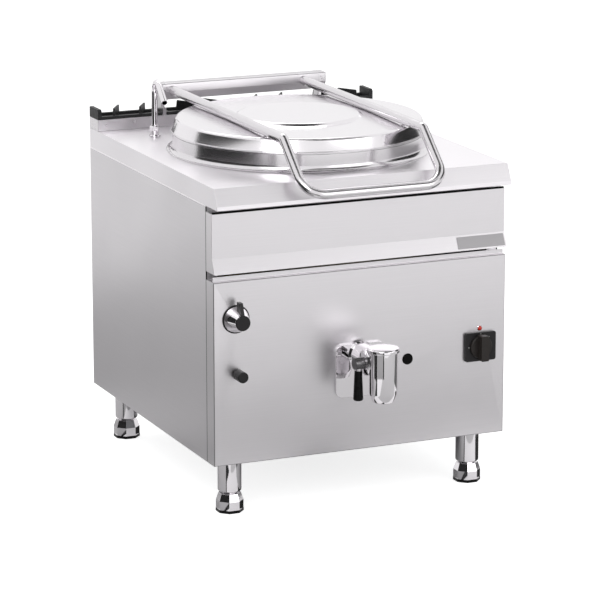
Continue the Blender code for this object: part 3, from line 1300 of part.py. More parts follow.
def spout_tube():
    """Swan neck that turns in the base, parked pointing forward beside the lid."""
    start = WATER_BASE_HEIGHT / 4
    corner = WATER_RISE
    along = Vector((-math.sin(WATER_TURN), -math.cos(WATER_TURN), 0.0))
    mouth = along * WATER_REACH + Vector((0.0, 0.0, corner - WATER_REACH * math.tan(WATER_FALL)))
    path = bent_path([(0.0, 0.0, start), (0.0, 0.0, corner), tuple(mouth)], [WATER_BEND])
    place = (left + WATER_X, water_y, deck)
    neck = tube("spout_tube", path, WATER_TUBE_RADIUS, 4, chrome, place)
    inward = (path[-2] - path[-1]).normalized()
    origin = Vector(place)
    cut(neck, rod("spout_tube_mouth", origin + path[-1] - inward * OVERRUN,
                  origin + path[-1] + inward * WATER_MOUTH_DEPTH, WATER_TUBE_RADIUS - WATER_MOUTH_WALL,
                  SMALL_SIDES, chrome))


def water_pipe():
    """Pipe from the back panel to the foot of the water spout."""
    x, inlet_y, inlet_z = water_inlet()
    y = water_y
    top = deck - WATER_SHANK_DROP - GAP
    tube("water_pipe", bent_path([(x, inlet_y, inlet_z), (x, y, inlet_z), (x, y, top)], [PIPE_BEND]),
         PIPE_RADIUS, 2, brass)


# Legs

def leg_place(side_x, side_y):
    x = side_x * (WIDTH / 2 - LEG_INSET)
    y = panel_face + LEG_INSET if side_y < 0 else back - LEG_INSET
    return x, y


def leg(name, place):
    """Tubular leg under the base frame, bored for the foot's threaded rod."""
    x, y = place
    bore = FOOT_ROD_RADIUS + RUNNING
    end = FOOT_ROD_TOP + FOOT_ROD_HEADROOM
    outline = [(0.0, base - GAP), (LEG_RADIUS, base - GAP), (LEG_RADIUS, LEG_SLEEVE_BOTTOM + LEG_ROUND)]
    outline += arc(LEG_RADIUS - LEG_ROUND, LEG_SLEEVE_BOTTOM + LEG_ROUND, LEG_ROUND, 0.0, -math.pi / 2, 3)[1:]
    outline += [(bore, LEG_SLEEVE_BOTTOM), (bore, end), (0.0, end)]
    turned(name, outline, BORE_SIDES, polished_steel, (x, y, 0.0))


def foot(name, place):
    """Eight-sided screw foot with its neck, its threaded rod and a flat pad."""
    x, y = place
    neck_top = LEG_SLEEVE_BOTTOM - GAP
    outline = [(0.0, 0.0), (FOOT_PAD_RADIUS, 0.0), (FOOT_PAD_RADIUS, FOOT_PAD_HEIGHT), (FOOT_RADIUS, FOOT_PAD_HEIGHT),
               (FOOT_RADIUS, FOOT_WAIST), (FOOT_TOP_RADIUS, FOOT_TOP), (FOOT_NECK_RADIUS, FOOT_TOP),
               (FOOT_NECK_RADIUS, neck_top), (FOOT_ROD_RADIUS, neck_top), (FOOT_ROD_RADIUS, FOOT_ROD_TOP),
               (0.0, FOOT_ROD_TOP)]
    turned(name, outline, FOOT_SIDES, polished_steel, (x, y, 0.0), (0.0, 0.0, math.pi / FOOT_SIDES))


def legs():
    for end, side_y in (("front", -1), ("rear", 1)):
        for hand, side_x in (("left", -1), ("right", 1)):
            place = leg_place(side_x, side_y)
            leg("leg_" + end + "_" + hand, place)
            foot("foot_" + end + "_" + hand, place)


def kettle():
    base_frame()
    side_panel("side_panel_left", -1)
    side_panel("side_panel_right", 1)
    rear_panel()
    front_panel()
    control_fascia()
    badge_plate()
    front_rail()
    worktop()
    flue_riser()
    flue_grate()
    well_collar()
    pan_vessel()
    steam_jacket()
    wool = jacket_insulation()
    firebox_shell()
    gas_burner()
    flue_duct()
    gas_valve()
    gas_pipes()
    safety_valve(wool)
    drain_pipe()
    tap()
    control_knob()
    igniter()
    sight_plug()
    pilot_lamp()
    main_switch()
    lid_assembly()
    spout_base()
    spout_tube()
    water_pipe()
    legs()


kettle()
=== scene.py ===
"""A steam jacketed kettle: the finish of every surface and the fine shapes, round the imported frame.
Metres, +Z up, the front faces -Y. One section for each piece or group of like pieces."""
import json
import math

import bmesh
import bpy
from mathutils import Matrix, Vector

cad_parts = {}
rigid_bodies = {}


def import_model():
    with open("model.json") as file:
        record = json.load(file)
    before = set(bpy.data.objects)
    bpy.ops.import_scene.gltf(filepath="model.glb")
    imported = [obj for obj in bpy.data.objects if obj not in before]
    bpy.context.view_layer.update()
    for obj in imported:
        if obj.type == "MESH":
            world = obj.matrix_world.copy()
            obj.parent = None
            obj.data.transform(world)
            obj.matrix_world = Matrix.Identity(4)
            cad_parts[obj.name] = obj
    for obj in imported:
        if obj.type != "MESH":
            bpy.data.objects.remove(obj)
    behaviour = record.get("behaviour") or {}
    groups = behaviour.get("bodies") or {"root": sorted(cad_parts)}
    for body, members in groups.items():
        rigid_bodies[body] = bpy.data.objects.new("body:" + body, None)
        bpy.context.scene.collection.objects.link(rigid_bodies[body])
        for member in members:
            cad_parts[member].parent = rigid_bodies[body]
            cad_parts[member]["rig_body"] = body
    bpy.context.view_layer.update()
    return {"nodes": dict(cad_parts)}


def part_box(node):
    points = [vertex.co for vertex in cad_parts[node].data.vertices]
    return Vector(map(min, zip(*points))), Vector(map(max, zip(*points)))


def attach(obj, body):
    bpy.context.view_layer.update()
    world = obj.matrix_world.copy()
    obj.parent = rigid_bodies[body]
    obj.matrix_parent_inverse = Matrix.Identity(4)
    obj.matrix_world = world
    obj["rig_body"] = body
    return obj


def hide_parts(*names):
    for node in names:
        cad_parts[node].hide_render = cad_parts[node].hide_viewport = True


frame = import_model()
nodes = frame["nodes"]

# The studio: a pale floor that reaches past the picture, a white surround and soft lamps. Camera,
# glossy and transmission rays find the surround white; dark flags stand round the kettle and are
# seen in polished metal only, as a photographer sets them to give bright sheet and tube its form.
FLOOR_SPAN = 80.0
FLOOR_PAINT = (0.72, 0.72, 0.72, 1.0)
FLOOR_WHITE_SEEN = 0.76
FLOOR_WHITE_MIRRORED = 0.36
SURROUND_LIGHT = 0.60
LAMP_AIM = Vector((0.0, 0.0, 0.6))
# Each lamp: place, size in metres, power in watts.
LAMPS = (("key_lamp", (-3.4, -3.8, 4.4), (2.6, 3.6), 95.0),
         ("fill_lamp", (1.9, -4.2, 1.9), (3.2, 1.9), 32.0),
         ("back_lamp", (0.6, 3.2, 4.8), (3.0, 1.8), 50.0))
# Each flag: place, size, grey. Each mat on the floor: middle, width, depth, grey.
FLAGS = (("flag_left", (-2.35, -0.25, 0.9), (4.2, 1.8), 0.02),
         ("flag_right", (2.5, -0.1, 1.55), (2.3, 1.2), 0.02),
         ("flag_front", (0.8, -2.1, 3.4), (3.0, 1.3), 0.08),
         ("flag_top", (0.25, 0.1, 4.2), (2.4, 2.2), 0.02))
MATS = (("mat_rear", (-1.05, 1.05), 1.20, 2.30, 0.44),
        ("mat_front", (0.60, -1.30), 2.00, 1.40, 0.68),
        ("mat_right", (1.45, 0.1), 1.30, 1.60, 0.14))
# Each sector of a ring on the floor: start and end in degrees, inner and outer radius, grey.
TAP_SECTORS = (("mat_tap_edge", 168.0, 198.0, 0.50, 2.6, 0.01),
               ("mat_tap_card", 199.0, 244.0, 0.80, 2.6, 0.42),
               ("mat_tap_line", 244.0, 252.0, 0.80, 2.6, 0.01))
LEG_SECTORS = (("mat_grey", 66.0, 214.0, 0.045, 0.50, 0.62),
               ("mat_line", 214.0, 222.0, 0.045, 0.50, 0.01),
               ("mat_black", 330.0, 402.0, 0.045, 0.43, 0.01))
SECTOR_STEP = 12.0
MAT_HEIGHT = 0.0002
CAMERA_PLACE = (-3.278, -7.4441, 2.446)
CAMERA_DIP = 13.793
CAMERA_HEADING = -23.648
CAMERA_TURN = (math.radians(90.0 - CAMERA_DIP), 0.0, math.radians(CAMERA_HEADING))
CAMERA_LENS = 193.63
CAMERA_FILM = 36.0

scene = bpy.context.scene
scene.view_settings.view_transform = "Standard"


def whiteness(tree, seen, mirrored, lighting):
    """The white that a camera ray, a glossy or transmission ray, and a ray of light each find."""
    path = tree.nodes.new("ShaderNodeLightPath")
    both = tree.nodes.new("ShaderNodeMath")
    both.operation = "MAXIMUM"
    tree.links.new(path.outputs["Is Glossy Ray"], both.inputs[0])
    tree.links.new(path.outputs["Is Transmission Ray"], both.inputs[1])
    level = lighting
    for found, value in ((both.outputs[0], mirrored), (path.outputs["Is Camera Ray"], seen)):
        choice = tree.nodes.new("ShaderNodeMix")
        choice.inputs["B"].default_value = value
        tree.links.new(found, choice.inputs["Factor"])
        if level is lighting:
            choice.inputs["A"].default_value = lighting
        else:
            tree.links.new(level, choice.inputs["A"])
        level = choice.outputs["Result"]
    return level


def facing(place):
    """Turns a lamp or flag at this place towards the kettle."""
    return (LAMP_AIM - Vector(place)).to_track_quat("-Z", "Y")


def studio_lamp(name, place, size, power):
    """A soft rectangular lamp aimed at the kettle."""
    lamp = bpy.data.objects.new(name, bpy.data.lights.new(name, "AREA"))
    lamp.data.shape = "RECTANGLE"
    lamp.data.size, lamp.data.size_y = size
    lamp.data.energy = power
    lamp.location = place
    lamp.rotation_euler = facing(place).to_euler()
    scene.collection.objects.link(lamp)


def stage_piece(name, bm, paint):
    """A piece of the studio, which isn't part of the kettle."""
    mesh = bpy.data.meshes.new(name)
    bm.to_mesh(mesh)
    bm.free()
    mesh.materials.append(paint)
    piece = bpy.data.objects.new(name, mesh)
    scene.collection.objects.link(piece)
    return piece


floor_paint = bpy.data.materials.new("pale_floor")
floor_paint.use_nodes = True
tree = floor_paint.node_tree
tree.nodes.clear()
matt = tree.nodes.new("ShaderNodeBsdfDiffuse")
matt.inputs["Color"].default_value = FLOOR_PAINT
white = tree.nodes.new("ShaderNodeEmission")
tree.links.new(whiteness(tree, FLOOR_WHITE_SEEN, FLOOR_WHITE_MIRRORED, 0.0), white.inputs["Strength"])
both = tree.nodes.new("ShaderNodeAddShader")
tree.links.new(matt.outputs[0], both.inputs[0])
tree.links.new(white.outputs[0], both.inputs[1])
tree.links.new(both.outputs[0], tree.nodes.new("ShaderNodeOutputMaterial").inputs["Surface"])
sheet = bmesh.new()
bmesh.ops.create_grid(sheet, x_segments=1, y_segments=1, size=FLOOR_SPAN / 2)
stage_piece("floor", sheet, floor_paint)

surround = bpy.data.worlds.new("white_surround")
scene.world = surround
surround.use_nodes = True
tree = surround.node_tree
sky = tree.nodes["Background"]
sky.inputs["Color"].default_value = (1.0, 1.0, 1.0, 1.0)
tree.links.new(whiteness(tree, 1.0, 1.0, SURROUND_LIGHT), sky.inputs["Strength"])

for name, place, size, power in LAMPS:
    studio_lamp(name, place, size, power)

flags = []
for name, place, size, tone in FLAGS:
    card = bmesh.new()
    bmesh.ops.create_grid(card, x_segments=1, y_segments=1, size=0.5)
    bmesh.ops.scale(card, vec=(size[0], size[1], 1.0), verts=card.verts)
    stand = Matrix.Translation(place) @ facing(place).to_matrix().to_4x4()
    bmesh.ops.transform(card, matrix=stand, verts=card.verts)
    flags.append((name, card, tone))
for name, middle, width, depth, tone in MATS:
    card = bmesh.new()
    bmesh.ops.create_grid(card, x_segments=1, y_segments=1, size=0.5)
    bmesh.ops.scale(card, vec=(width, depth, 1.0), verts=card.verts)
    bmesh.ops.translate(card, vec=(*middle, MAT_HEIGHT * (1 + len(flags))), verts=card.verts)
    flags.append((name, card, tone))
stands = [("_tap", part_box("tap_body"), TAP_SECTORS)]
stands += [("_" + corner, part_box("leg_" + corner), LEG_SECTORS)
           for corner in ("front_left", "front_right", "rear_left", "rear_right")]
for corner, (low, high), sectors in stands:
    for name, start, end, near, far, tone in sectors:
        card = bmesh.new()
        middle = Vector(((low.x + high.x) / 2, (low.y + high.y) / 2, MAT_HEIGHT * (1 + len(flags))))
        spoke = Vector((math.cos(math.radians(start)), math.sin(math.radians(start)), 0.0))
        ends = [card.verts.new(middle + spoke * near), card.verts.new(middle + spoke * far)]
        steps = max(2, round((end - start) / SECTOR_STEP))
        bmesh.ops.spin(card, geom=[*ends, card.edges.new(ends)], cent=middle, axis=(0.0, 0.0, 1.0),
                       angle=math.radians(end - start), steps=steps, use_duplicate=False)
        flags.append((name + corner, card, tone))
for name, card, tone in flags:
    flag_paint = bpy.data.materials.new(name + "_cloth")
    flag_paint.use_nodes = True
    flag_paint.node_tree.nodes["Principled BSDF"].inputs["Base Color"].default_value = (tone, tone, tone, 1.0)
    flag_paint.node_tree.nodes["Principled BSDF"].inputs["Roughness"].default_value = 1.0
    flag = stage_piece(name, card, flag_paint)
    flag.visible_camera = False
    flag.visible_diffuse = False
    flag.visible_shadow = False
    flag.visible_transmission = False

camera = bpy.data.objects.new("camera", bpy.data.cameras.new("camera"))
camera.data.lens = CAMERA_LENS
camera.data.sensor_width = CAMERA_FILM
camera.data.clip_end = FLOOR_SPAN
camera.location = CAMERA_PLACE
camera.rotation_euler = CAMERA_TURN
scene.collection.objects.link(camera)
scene.camera = camera

# Side and rear panels: satin stainless sheet 1.5 mm thick, brushed across, with folded edges and a
# hem along the side panels' tops whose lighter finish is a painted highlight. They hook round the
# base frame. The rear panel has seven punched air slots.
WELD = 0.00002
FLAT = math.radians(0.6)
FOLD = math.radians(28.0)
FOLD_STEPS = 3
SHEET_EDGE = 0.0006
SIDE_TONE = 0.72
SIDE_ROUGH = 0.36
STEEL_GREEN = 0.972
STEEL_BLUE = 1.002
NOISE_LOW, NOISE_HIGH = 0.3, 0.7
GRAIN_FINE = 520.0
GRAIN_LONG = 5.0
GRAIN_ACROSS = (GRAIN_LONG, GRAIN_FINE, GRAIN_FINE)
GRAIN_BACKWARD = (GRAIN_FINE, GRAIN_LONG, GRAIN_FINE)
GRAIN_SPREAD = 0.015
GRAIN_DEPTH = 0.00001
GRAIN_RELIEF = 0.35
WIPE_MARKS = (4.0, 4.0, 4.0)
WIPE_SPREAD = 0.03
HEM_RADIUS = 0.0018
HEM_SIDES = 16
HEM_HIGHLIGHT_TONE = 0.90
HEM_ROUGH = 0.24


def new_finish(name, metal, rough):
    """A Principled material with its plain values set on the shader itself."""
    finish = bpy.data.materials.new(name)
    finish.use_nodes = True
    shader = finish.node_tree.nodes["Principled BSDF"]
    shader.inputs["Metallic"].default_value = metal
    shader.inputs["Roughness"].default_value = rough
    return finish, shader


def pattern(finish, stretch, detail=2.0):
    """Noise on Object coordinates, stretch gives how many times it repeats in a metre on each axis."""
    tree = finish.node_tree
    coordinates = tree.nodes.new("ShaderNodeTexCoord")
    mapping = tree.nodes.new("ShaderNodeMapping")
    mapping.inputs["Scale"].default_value = stretch
    noise = tree.nodes.new("ShaderNodeTexNoise")
    noise.inputs["Scale"].default_value = 1.0
    noise.inputs["Detail"].default_value = detail
    tree.links.new(coordinates.outputs["Object"], mapping.inputs["Vector"])
    tree.links.new(mapping.outputs["Vector"], noise.inputs["Vector"])
    return noise.outputs["Fac"]


def tinted(finish, shader, fac, low, high):
    """Base colour that goes from low to high with the pattern."""
    ramp = finish.node_tree.nodes.new("ShaderNodeValToRGB")
    ramp.color_ramp.elements[0].position = NOISE_LOW
    ramp.color_ramp.elements[1].position = NOISE_HIGH
    ramp.color_ramp.elements[0].color = (*low, 1.0)
    ramp.color_ramp.elements[1].color = (*high, 1.0)
    finish.node_tree.links.new(fac, ramp.inputs["Fac"])
    finish.node_tree.links.new(ramp.outputs["Color"], shader.inputs["Base Color"])


def roughened(finish, shader, fac, low, high):
    """Roughness that goes from low to high with the pattern."""
    ranged = finish.node_tree.nodes.new("ShaderNodeMapRange")
    ranged.inputs["From Min"].default_value = NOISE_LOW
    ranged.inputs["From Max"].default_value = NOISE_HIGH
    ranged.inputs["To Min"].default_value = low
    ranged.inputs["To Max"].default_value = high
    finish.node_tree.links.new(fac, ranged.inputs["Value"])
    finish.node_tree.links.new(ranged.outputs["Result"], shader.inputs["Roughness"])


def embossed(finish, shader, fac, depth, strength):
    """Fine relief of the given depth in metres."""
    bump = finish.node_tree.nodes.new("ShaderNodeBump")
    bump.inputs["Strength"].default_value = strength
    bump.inputs["Distance"].default_value = depth
    finish.node_tree.links.new(fac, bump.inputs["Height"])
    finish.node_tree.links.new(bump.outputs["Normal"], shader.inputs["Normal"])


def steel_tone(tone):
    """Stainless steel's colour at this lightness: a trace less green than red and blue."""
    return (tone, tone * STEEL_GREEN, tone * STEEL_BLUE)


def brushed_sheet(name, tone, rough, stretch):
    """Stainless sheet with a long fine grain and broad soft marks from wiping."""
    finish, shader = new_finish(name, 1.0, rough)
    grain = pattern(finish, stretch, detail=3.0)
    marks = pattern(finish, WIPE_MARKS)
    tinted(finish, shader, grain, steel_tone(tone * (1.0 - GRAIN_SPREAD)),
           steel_tone(tone * (1.0 + GRAIN_SPREAD)))
    roughened(finish, shader, marks, rough - WIPE_SPREAD, rough + WIPE_SPREAD)
    embossed(finish, shader, grain, GRAIN_DEPTH, GRAIN_RELIEF)
    return finish


def fitted(bm, name, body, finish, replaces=(), edge=0.0, steps=FOLD_STEPS):
    """Makes the finished piece from its mesh: smooth faces, edges rounded by edge, on its body."""
    mesh = bpy.data.meshes.new(name)
    bm.to_mesh(mesh)
    bm.free()
    mesh.shade_smooth()
    mesh.set_sharp_from_angle(angle=FOLD)
    mesh.materials.append(finish)
    piece = bpy.data.objects.new(name, mesh)
    scene.collection.objects.link(piece)
    if edge:
        rounding = piece.modifiers.new("edge", "BEVEL")
        rounding.width = edge
        rounding.segments = steps
        rounding.limit_method = "ANGLE"
        rounding.angle_limit = FOLD
        rounding.harden_normals = True
    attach(piece, body)
    if replaces:
        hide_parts(*replaces)
    return piece


def joined_copy(node):
    """The mesh of a frame node with its loose triangles joined and its flat faces made whole."""
    bm = bmesh.new()
    bm.from_mesh(nodes[node].data)
    bmesh.ops.remove_doubles(bm, verts=bm.verts, dist=WELD)
    bmesh.ops.dissolve_limit(bm, angle_limit=FLAT, verts=bm.verts, edges=bm.edges)
    return bm


def softened(node, name, finish, edge=SHEET_EDGE):
    """A sheet, casting or moulding of the frame with its edges rounded as they are in the metal."""
    return fitted(joined_copy(node), name, nodes[node]["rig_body"], finish, (node,), edge)


side_steel = brushed_sheet("side_steel", SIDE_TONE, SIDE_ROUGH, GRAIN_BACKWARD)
rear_steel = brushed_sheet("rear_steel", SIDE_TONE, SIDE_ROUGH, GRAIN_ACROSS)
softened("side_panel_left", "left_side_sheet", side_steel)
softened("side_panel_right", "right_side_sheet", side_steel)
softened("rear_panel", "rear_sheet", rear_steel)
side_low, side_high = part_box("side_panel_left")
# Painted highlight: the hem's lighter, smoother steel makes the bright line under the worktop's edge.
hem_highlight_steel = brushed_sheet("hem_highlight_steel", HEM_HIGHLIGHT_TONE, HEM_ROUGH, GRAIN_BACKWARD)
for hand, side in (("left", -1.0), ("right", 1.0)):
    hem = bmesh.new()
    bmesh.ops.create_circle(hem, cap_ends=True, radius=HEM_RADIUS, segments=HEM_SIDES,
                            matrix=Matrix.Rotation(math.radians(-90.0), 4, "X"))
    hem_end = bmesh.ops.extrude_face_region(hem, geom=hem.faces[:])["geom"]
    bmesh.ops.translate(hem, vec=(0.0, side_high.y - side_low.y, 0.0),
                        verts=[v for v in hem_end if isinstance(v, bmesh.types.BMVert)])
    place = (side * (abs(side_low.x) - HEM_RADIUS / 2), side_low.y, side_high.z - HEM_RADIUS / 2)
    bmesh.ops.translate(hem, vec=place, verts=hem.verts)
    bmesh.ops.recalc_face_normals(hem, faces=hem.faces)
    fitted(hem, "side_hem_" + hand, "kettle_body", hem_highlight_steel)

# Front panel, fascia with its leaning lip, the rail behind the shadow gap and the bare badge plate:
# satin sheet brushed across and folded, with painted shade on the front panel's rounded folds: a
# darker finish for their dark reflection. The badge plate is a thin dark brushed tag glued on the lip.
FRONT_TONE = 0.70
FRONT_ROUGH = 0.33
FRONT_EDGE = 0.0007
PANEL_ROUND = 0.002
PANEL_ROUND_STEPS = 4
FOLD_LEAN = 0.15
FOLD_SHADE_AND_BADGE_TONE = 0.34
FOLD_SHADE_AND_BADGE_ROUGH = 0.30
BADGE_EDGE = 0.0005
front_steel = brushed_sheet("front_steel", FRONT_TONE, FRONT_ROUGH, GRAIN_ACROSS)
panel_low, panel_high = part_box("front_panel")
panel = joined_copy("front_panel")
corners = [e for e in panel.edges if all(abs(v.co.y - panel_low.y) < WELD for v in e.verts)
           and (all(abs(abs(v.co.x) - panel_high.x) < WELD for v in e.verts)
                or all(abs(v.co.z - panel_low.z) < WELD for v in e.verts))]
bmesh.ops.bevel(panel, geom=corners, offset=PANEL_ROUND, segments=PANEL_ROUND_STEPS, profile=0.5,
                affect="EDGES", material=-1)
panel.normal_update()
# Painted shade: the faces of the rounded folds take the darker second finish.
for face in panel.faces:
    leans = max(abs(face.normal.x), abs(face.normal.z))
    rounded = face.normal.y < -FOLD_LEAN and leans > FOLD_LEAN
    if rounded and face.calc_center_median().y < panel_low.y + PANEL_ROUND:
        face.material_index = 1
front_sheet = fitted(panel, "front_sheet", "kettle_body", front_steel,
                     ("front_panel",), FRONT_EDGE)
# The darker finish on the folds is painted shade, not a finish of the steel.
painted_fold_shade = brushed_sheet("painted_fold_shade", FOLD_SHADE_AND_BADGE_TONE, FOLD_SHADE_AND_BADGE_ROUGH, GRAIN_ACROSS)
front_sheet.data.materials.append(painted_fold_shade)
softened("control_fascia", "fascia_sheet", front_steel, FRONT_EDGE)
softened("front_rail", "rail_sheet", front_steel)
badge_metal = brushed_sheet("badge_metal", FOLD_SHADE_AND_BADGE_TONE, FOLD_SHADE_AND_BADGE_ROUGH, GRAIN_ACROSS)
softened("badge_plate", "badge_tag", badge_metal, BADGE_EDGE)

# Joints of the front: black strips of painted shade, one in the groove between each side panel and
# the front and one for the shadow line under the nose on the fascia's top fold, and a steel strip
# that closes the gap under the lip.
JOINT_WIDTH = 0.0024
JOINT_PROUD = 0.00015
RAIL_BACK = 0.0105
RAIL_DROP = 0.0090
RAIL_SHEET = 0.0015
RAIL_EDGE = 0.0005
SHADOW_STRIP_BACK = 0.0092
SHADOW_STRIP_DEPTH = 0.005
SHADOW_STRIP_HEIGHT = 0.0046
SHADOW_STRIP_EDGE = 0.0006
SKIN_PATCHES = (60.0, 60.0, 60.0)
SKIN_SMOOTHER, SKIN_ROUGHER = 0.05, 0.06


def strip(low, high):
    """A straight strip between two corners, its edges still square."""
    bm = bmesh.new()
    bmesh.ops.create_cube(bm, size=1.0)
    low, high = Vector(low), Vector(high)
    bmesh.ops.scale(bm, vec=high - low, verts=bm.verts)
    bmesh.ops.translate(bm, vec=(low + high) / 2, verts=bm.verts)
    return bm


def coated(name, low, high, rough, lump, depth, strength, gloss=0.25):
    """Paint, plastic or coating with a fine uneven skin."""
    finish, shader = new_finish(name, 0.0, rough)
    shader.inputs["Specular IOR Level"].default_value = gloss
    skin = pattern(finish, (lump, lump, lump), detail=4.0)
    tinted(finish, shader, skin, low, high)
    roughened(finish, shader, pattern(finish, SKIN_PATCHES), rough - SKIN_SMOOTHER, rough + SKIN_ROUGHER)
    embossed(finish, shader, skin, depth, strength)
    return finish


# Real rubber for the sight plug; also the black of the painted shade strips at the joints.
black_rubber = coated("black_rubber", (0.003, 0.003, 0.003), (0.007, 0.007, 0.007), rough=0.5,
                      lump=900.0, depth=0.0001, strength=0.3, gloss=0.05)
fascia_low, fascia_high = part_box("control_fascia")
# Painted shade: a black strip where the groove between the sheets is only in shade.
for hand, side in (("left", -1.0), ("right", 1.0)):
    ends = sorted((side * (panel_high.x + JOINT_PROUD), side * (panel_high.x - JOINT_WIDTH)))
    joint = strip((ends[0], panel_high.y - JOINT_WIDTH / 2, side_low.z + JOINT_WIDTH),
                  (ends[1], panel_high.y + JOINT_WIDTH / 2, side_high.z - JOINT_WIDTH))
    fitted(joint, "painted_joint_shade_" + hand, "kettle_body", black_rubber,
           edge=JOINT_PROUD, steps=2)
rail_y = panel_low.y + RAIL_BACK
fitted(strip((-panel_high.x + JOINT_WIDTH, rail_y, panel_high.z + JOINT_PROUD),
             (panel_high.x - JOINT_WIDTH, rail_y + RAIL_SHEET, fascia_low.z - RAIL_DROP)),
       "gap_rail", "kettle_body", front_steel, edge=RAIL_EDGE)
# Painted shadow: a black strip on the fascia's top fold for the shadow line under the nose.
shadow_strip_y = panel_low.y + SHADOW_STRIP_BACK
fitted(strip((-panel_high.x + JOINT_WIDTH, shadow_strip_y, fascia_high.z - SHADOW_STRIP_HEIGHT / 3),
             (panel_high.x - JOINT_WIDTH, shadow_strip_y + SHADOW_STRIP_DEPTH, fascia_high.z + SHADOW_STRIP_HEIGHT * 2 / 3)),
       "nose_painted_shadow", "kettle_body", black_rubber, edge=SHADOW_STRIP_EDGE, steps=2)

# Worktop: one deep cap of thick satin sheet with a leaning nose, open where the pan stands.
TOP_TONE = 0.86
TOP_ROUGH = 0.37
TOP_EDGE = 0.0008
top_steel = brushed_sheet("worktop_steel", TOP_TONE, TOP_ROUGH, GRAIN_ACROSS)
softened("worktop", "worktop_cap", top_steel, TOP_EDGE)

# Flue riser: a folded box along the back of the worktop, held by two small pan-head screws.
RISER_EDGE = 0.0010
RISER_SCREW_INSET = 0.022
SCREW_RADIUS = 0.0026
SCREW_HEIGHT = 0.0016
SCREW_CROWN_SHARE = 0.72
SCREW_RIM_SHARE = 0.55
SOCKET_RADIUS = 0.0012
SOCKET_DEPTH = 0.0011
TURN_STEPS = 72
SMALL_TURN = 24
SMEAR_MARKS = (22.0, 22.0, 22.0)
RIPPLES = (160.0, 160.0, 160.0)
RIPPLE_DEPTH = 0.00002
RIPPLE_RELIEF = 0.12
SMOOTHEST = 0.02
riser_steel = brushed_sheet("riser_steel", tone=0.74, rough=0.30, stretch=GRAIN_ACROSS)
softened("flue_riser", "riser_box", riser_steel, RISER_EDGE)


def bright_metal(name, tone, rough, smear=0.03):
    """Polished or plated metal: nearly even, with faint wiping marks in its gloss."""
    finish, shader = new_finish(name, 1.0, rough)
    marks = pattern(finish, SMEAR_MARKS, detail=3.0)
    tinted(finish, shader, marks, steel_tone(tone * (1.0 - GRAIN_SPREAD)), steel_tone(tone))
    roughened(finish, shader, marks, max(rough - smear, SMOOTHEST), rough + smear)
    embossed(finish, shader, pattern(finish, RIPPLES), RIPPLE_DEPTH, RIPPLE_RELIEF)
    return finish


def turned(outline, centre, lead=(0.0, 0.0, 1.0), steps=TURN_STEPS, turn=0.0):
    """A turned solid: the outline's (radius, way along the axis) points spun round the axis."""
    bm = bmesh.new()
    axis = Vector(lead).normalized()
    side = Matrix.Rotation(turn, 3, axis) @ axis.orthogonal().normalized()
    centre = Vector(centre)
    points = [bm.verts.new(centre + side * radius + axis * along) for radius, along in outline]
    edges = [bm.edges.new(pair) for pair in zip(points, points[1:])]
    if outline[0][0] > 0.0:
        edges.append(bm.edges.new((points[-1], points[0])))
    bmesh.ops.spin(bm, geom=points + edges, cent=centre, axis=axis, angle=math.tau, steps=steps,
                   use_merge=True, use_duplicate=False)
    bmesh.ops.remove_doubles(bm, verts=bm.verts, dist=WELD / 10)
    bmesh.ops.recalc_face_normals(bm, faces=bm.faces)
    return bm


def screw(name, place, lead, body, radius=SCREW_RADIUS):
    """A pan-head screw with a round socket, seated on a sheet."""
    share = radius / SCREW_RADIUS
    outline = [(0.0, SCREW_HEIGHT - SOCKET_DEPTH), (SOCKET_RADIUS, SCREW_HEIGHT - SOCKET_DEPTH),
               (SOCKET_RADIUS, SCREW_HEIGHT), (SCREW_RADIUS * SCREW_CROWN_SHARE, SCREW_HEIGHT),
               (SCREW_RADIUS, SCREW_HEIGHT * SCREW_RIM_SHARE), (SCREW_RADIUS, -SCREW_HEIGHT / 4),
               (0.0, -SCREW_HEIGHT / 4)]
    outline = [(r * share, a * share) for r, a in outline]
    return fitted(turned(outline, place, lead, SMALL_TURN), name, body, polished)


polished = bright_metal("polished_bar", tone=0.78, rough=0.08)
riser_low, riser_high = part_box("flue_riser")
for hand, x in (("left", riser_low.x + RISER_SCREW_INSET), ("right", riser_high.x - RISER_SCREW_INSET)):
    place = (x, riser_low.y, (riser_low.z + riser_high.z) / 2)
    screw("riser_screw_" + hand, place, (0.0, -1.0, 0.0), "kettle_body")

# Flue grate: one iron casting under a dull black heat-proof coating, its edges left round by the
# mould. It lies loose on the riser.
GRATE_EDGE = 0.0012
IRON_LOW, IRON_HIGH = (0.012, 0.012, 0.013), (0.030, 0.030, 0.031)
cast_iron = coated("black_iron", IRON_LOW, IRON_HIGH, rough=0.46, lump=900.0, depth=0.0002, strength=0.5)
softened("flue_grate", "grate_casting", cast_iron, GRATE_EDGE)

# Collar: polished ring of sheet welded on the worktop round the pan's mouth, with a rounded foot.
COLLAR_WALL = 0.003
COLLAR_FOOT = 0.016
COLLAR_LIP = 0.0008
COLLAR_SIDES = 160
ARC_STEPS = 6
LATHE_RINGS = 900.0
RING_DEPTH = 0.00001
RING_RELIEF = 0.25
RING_PATCHES = (5.0, 5.0, 5.0)
RING_SPREAD = 0.02


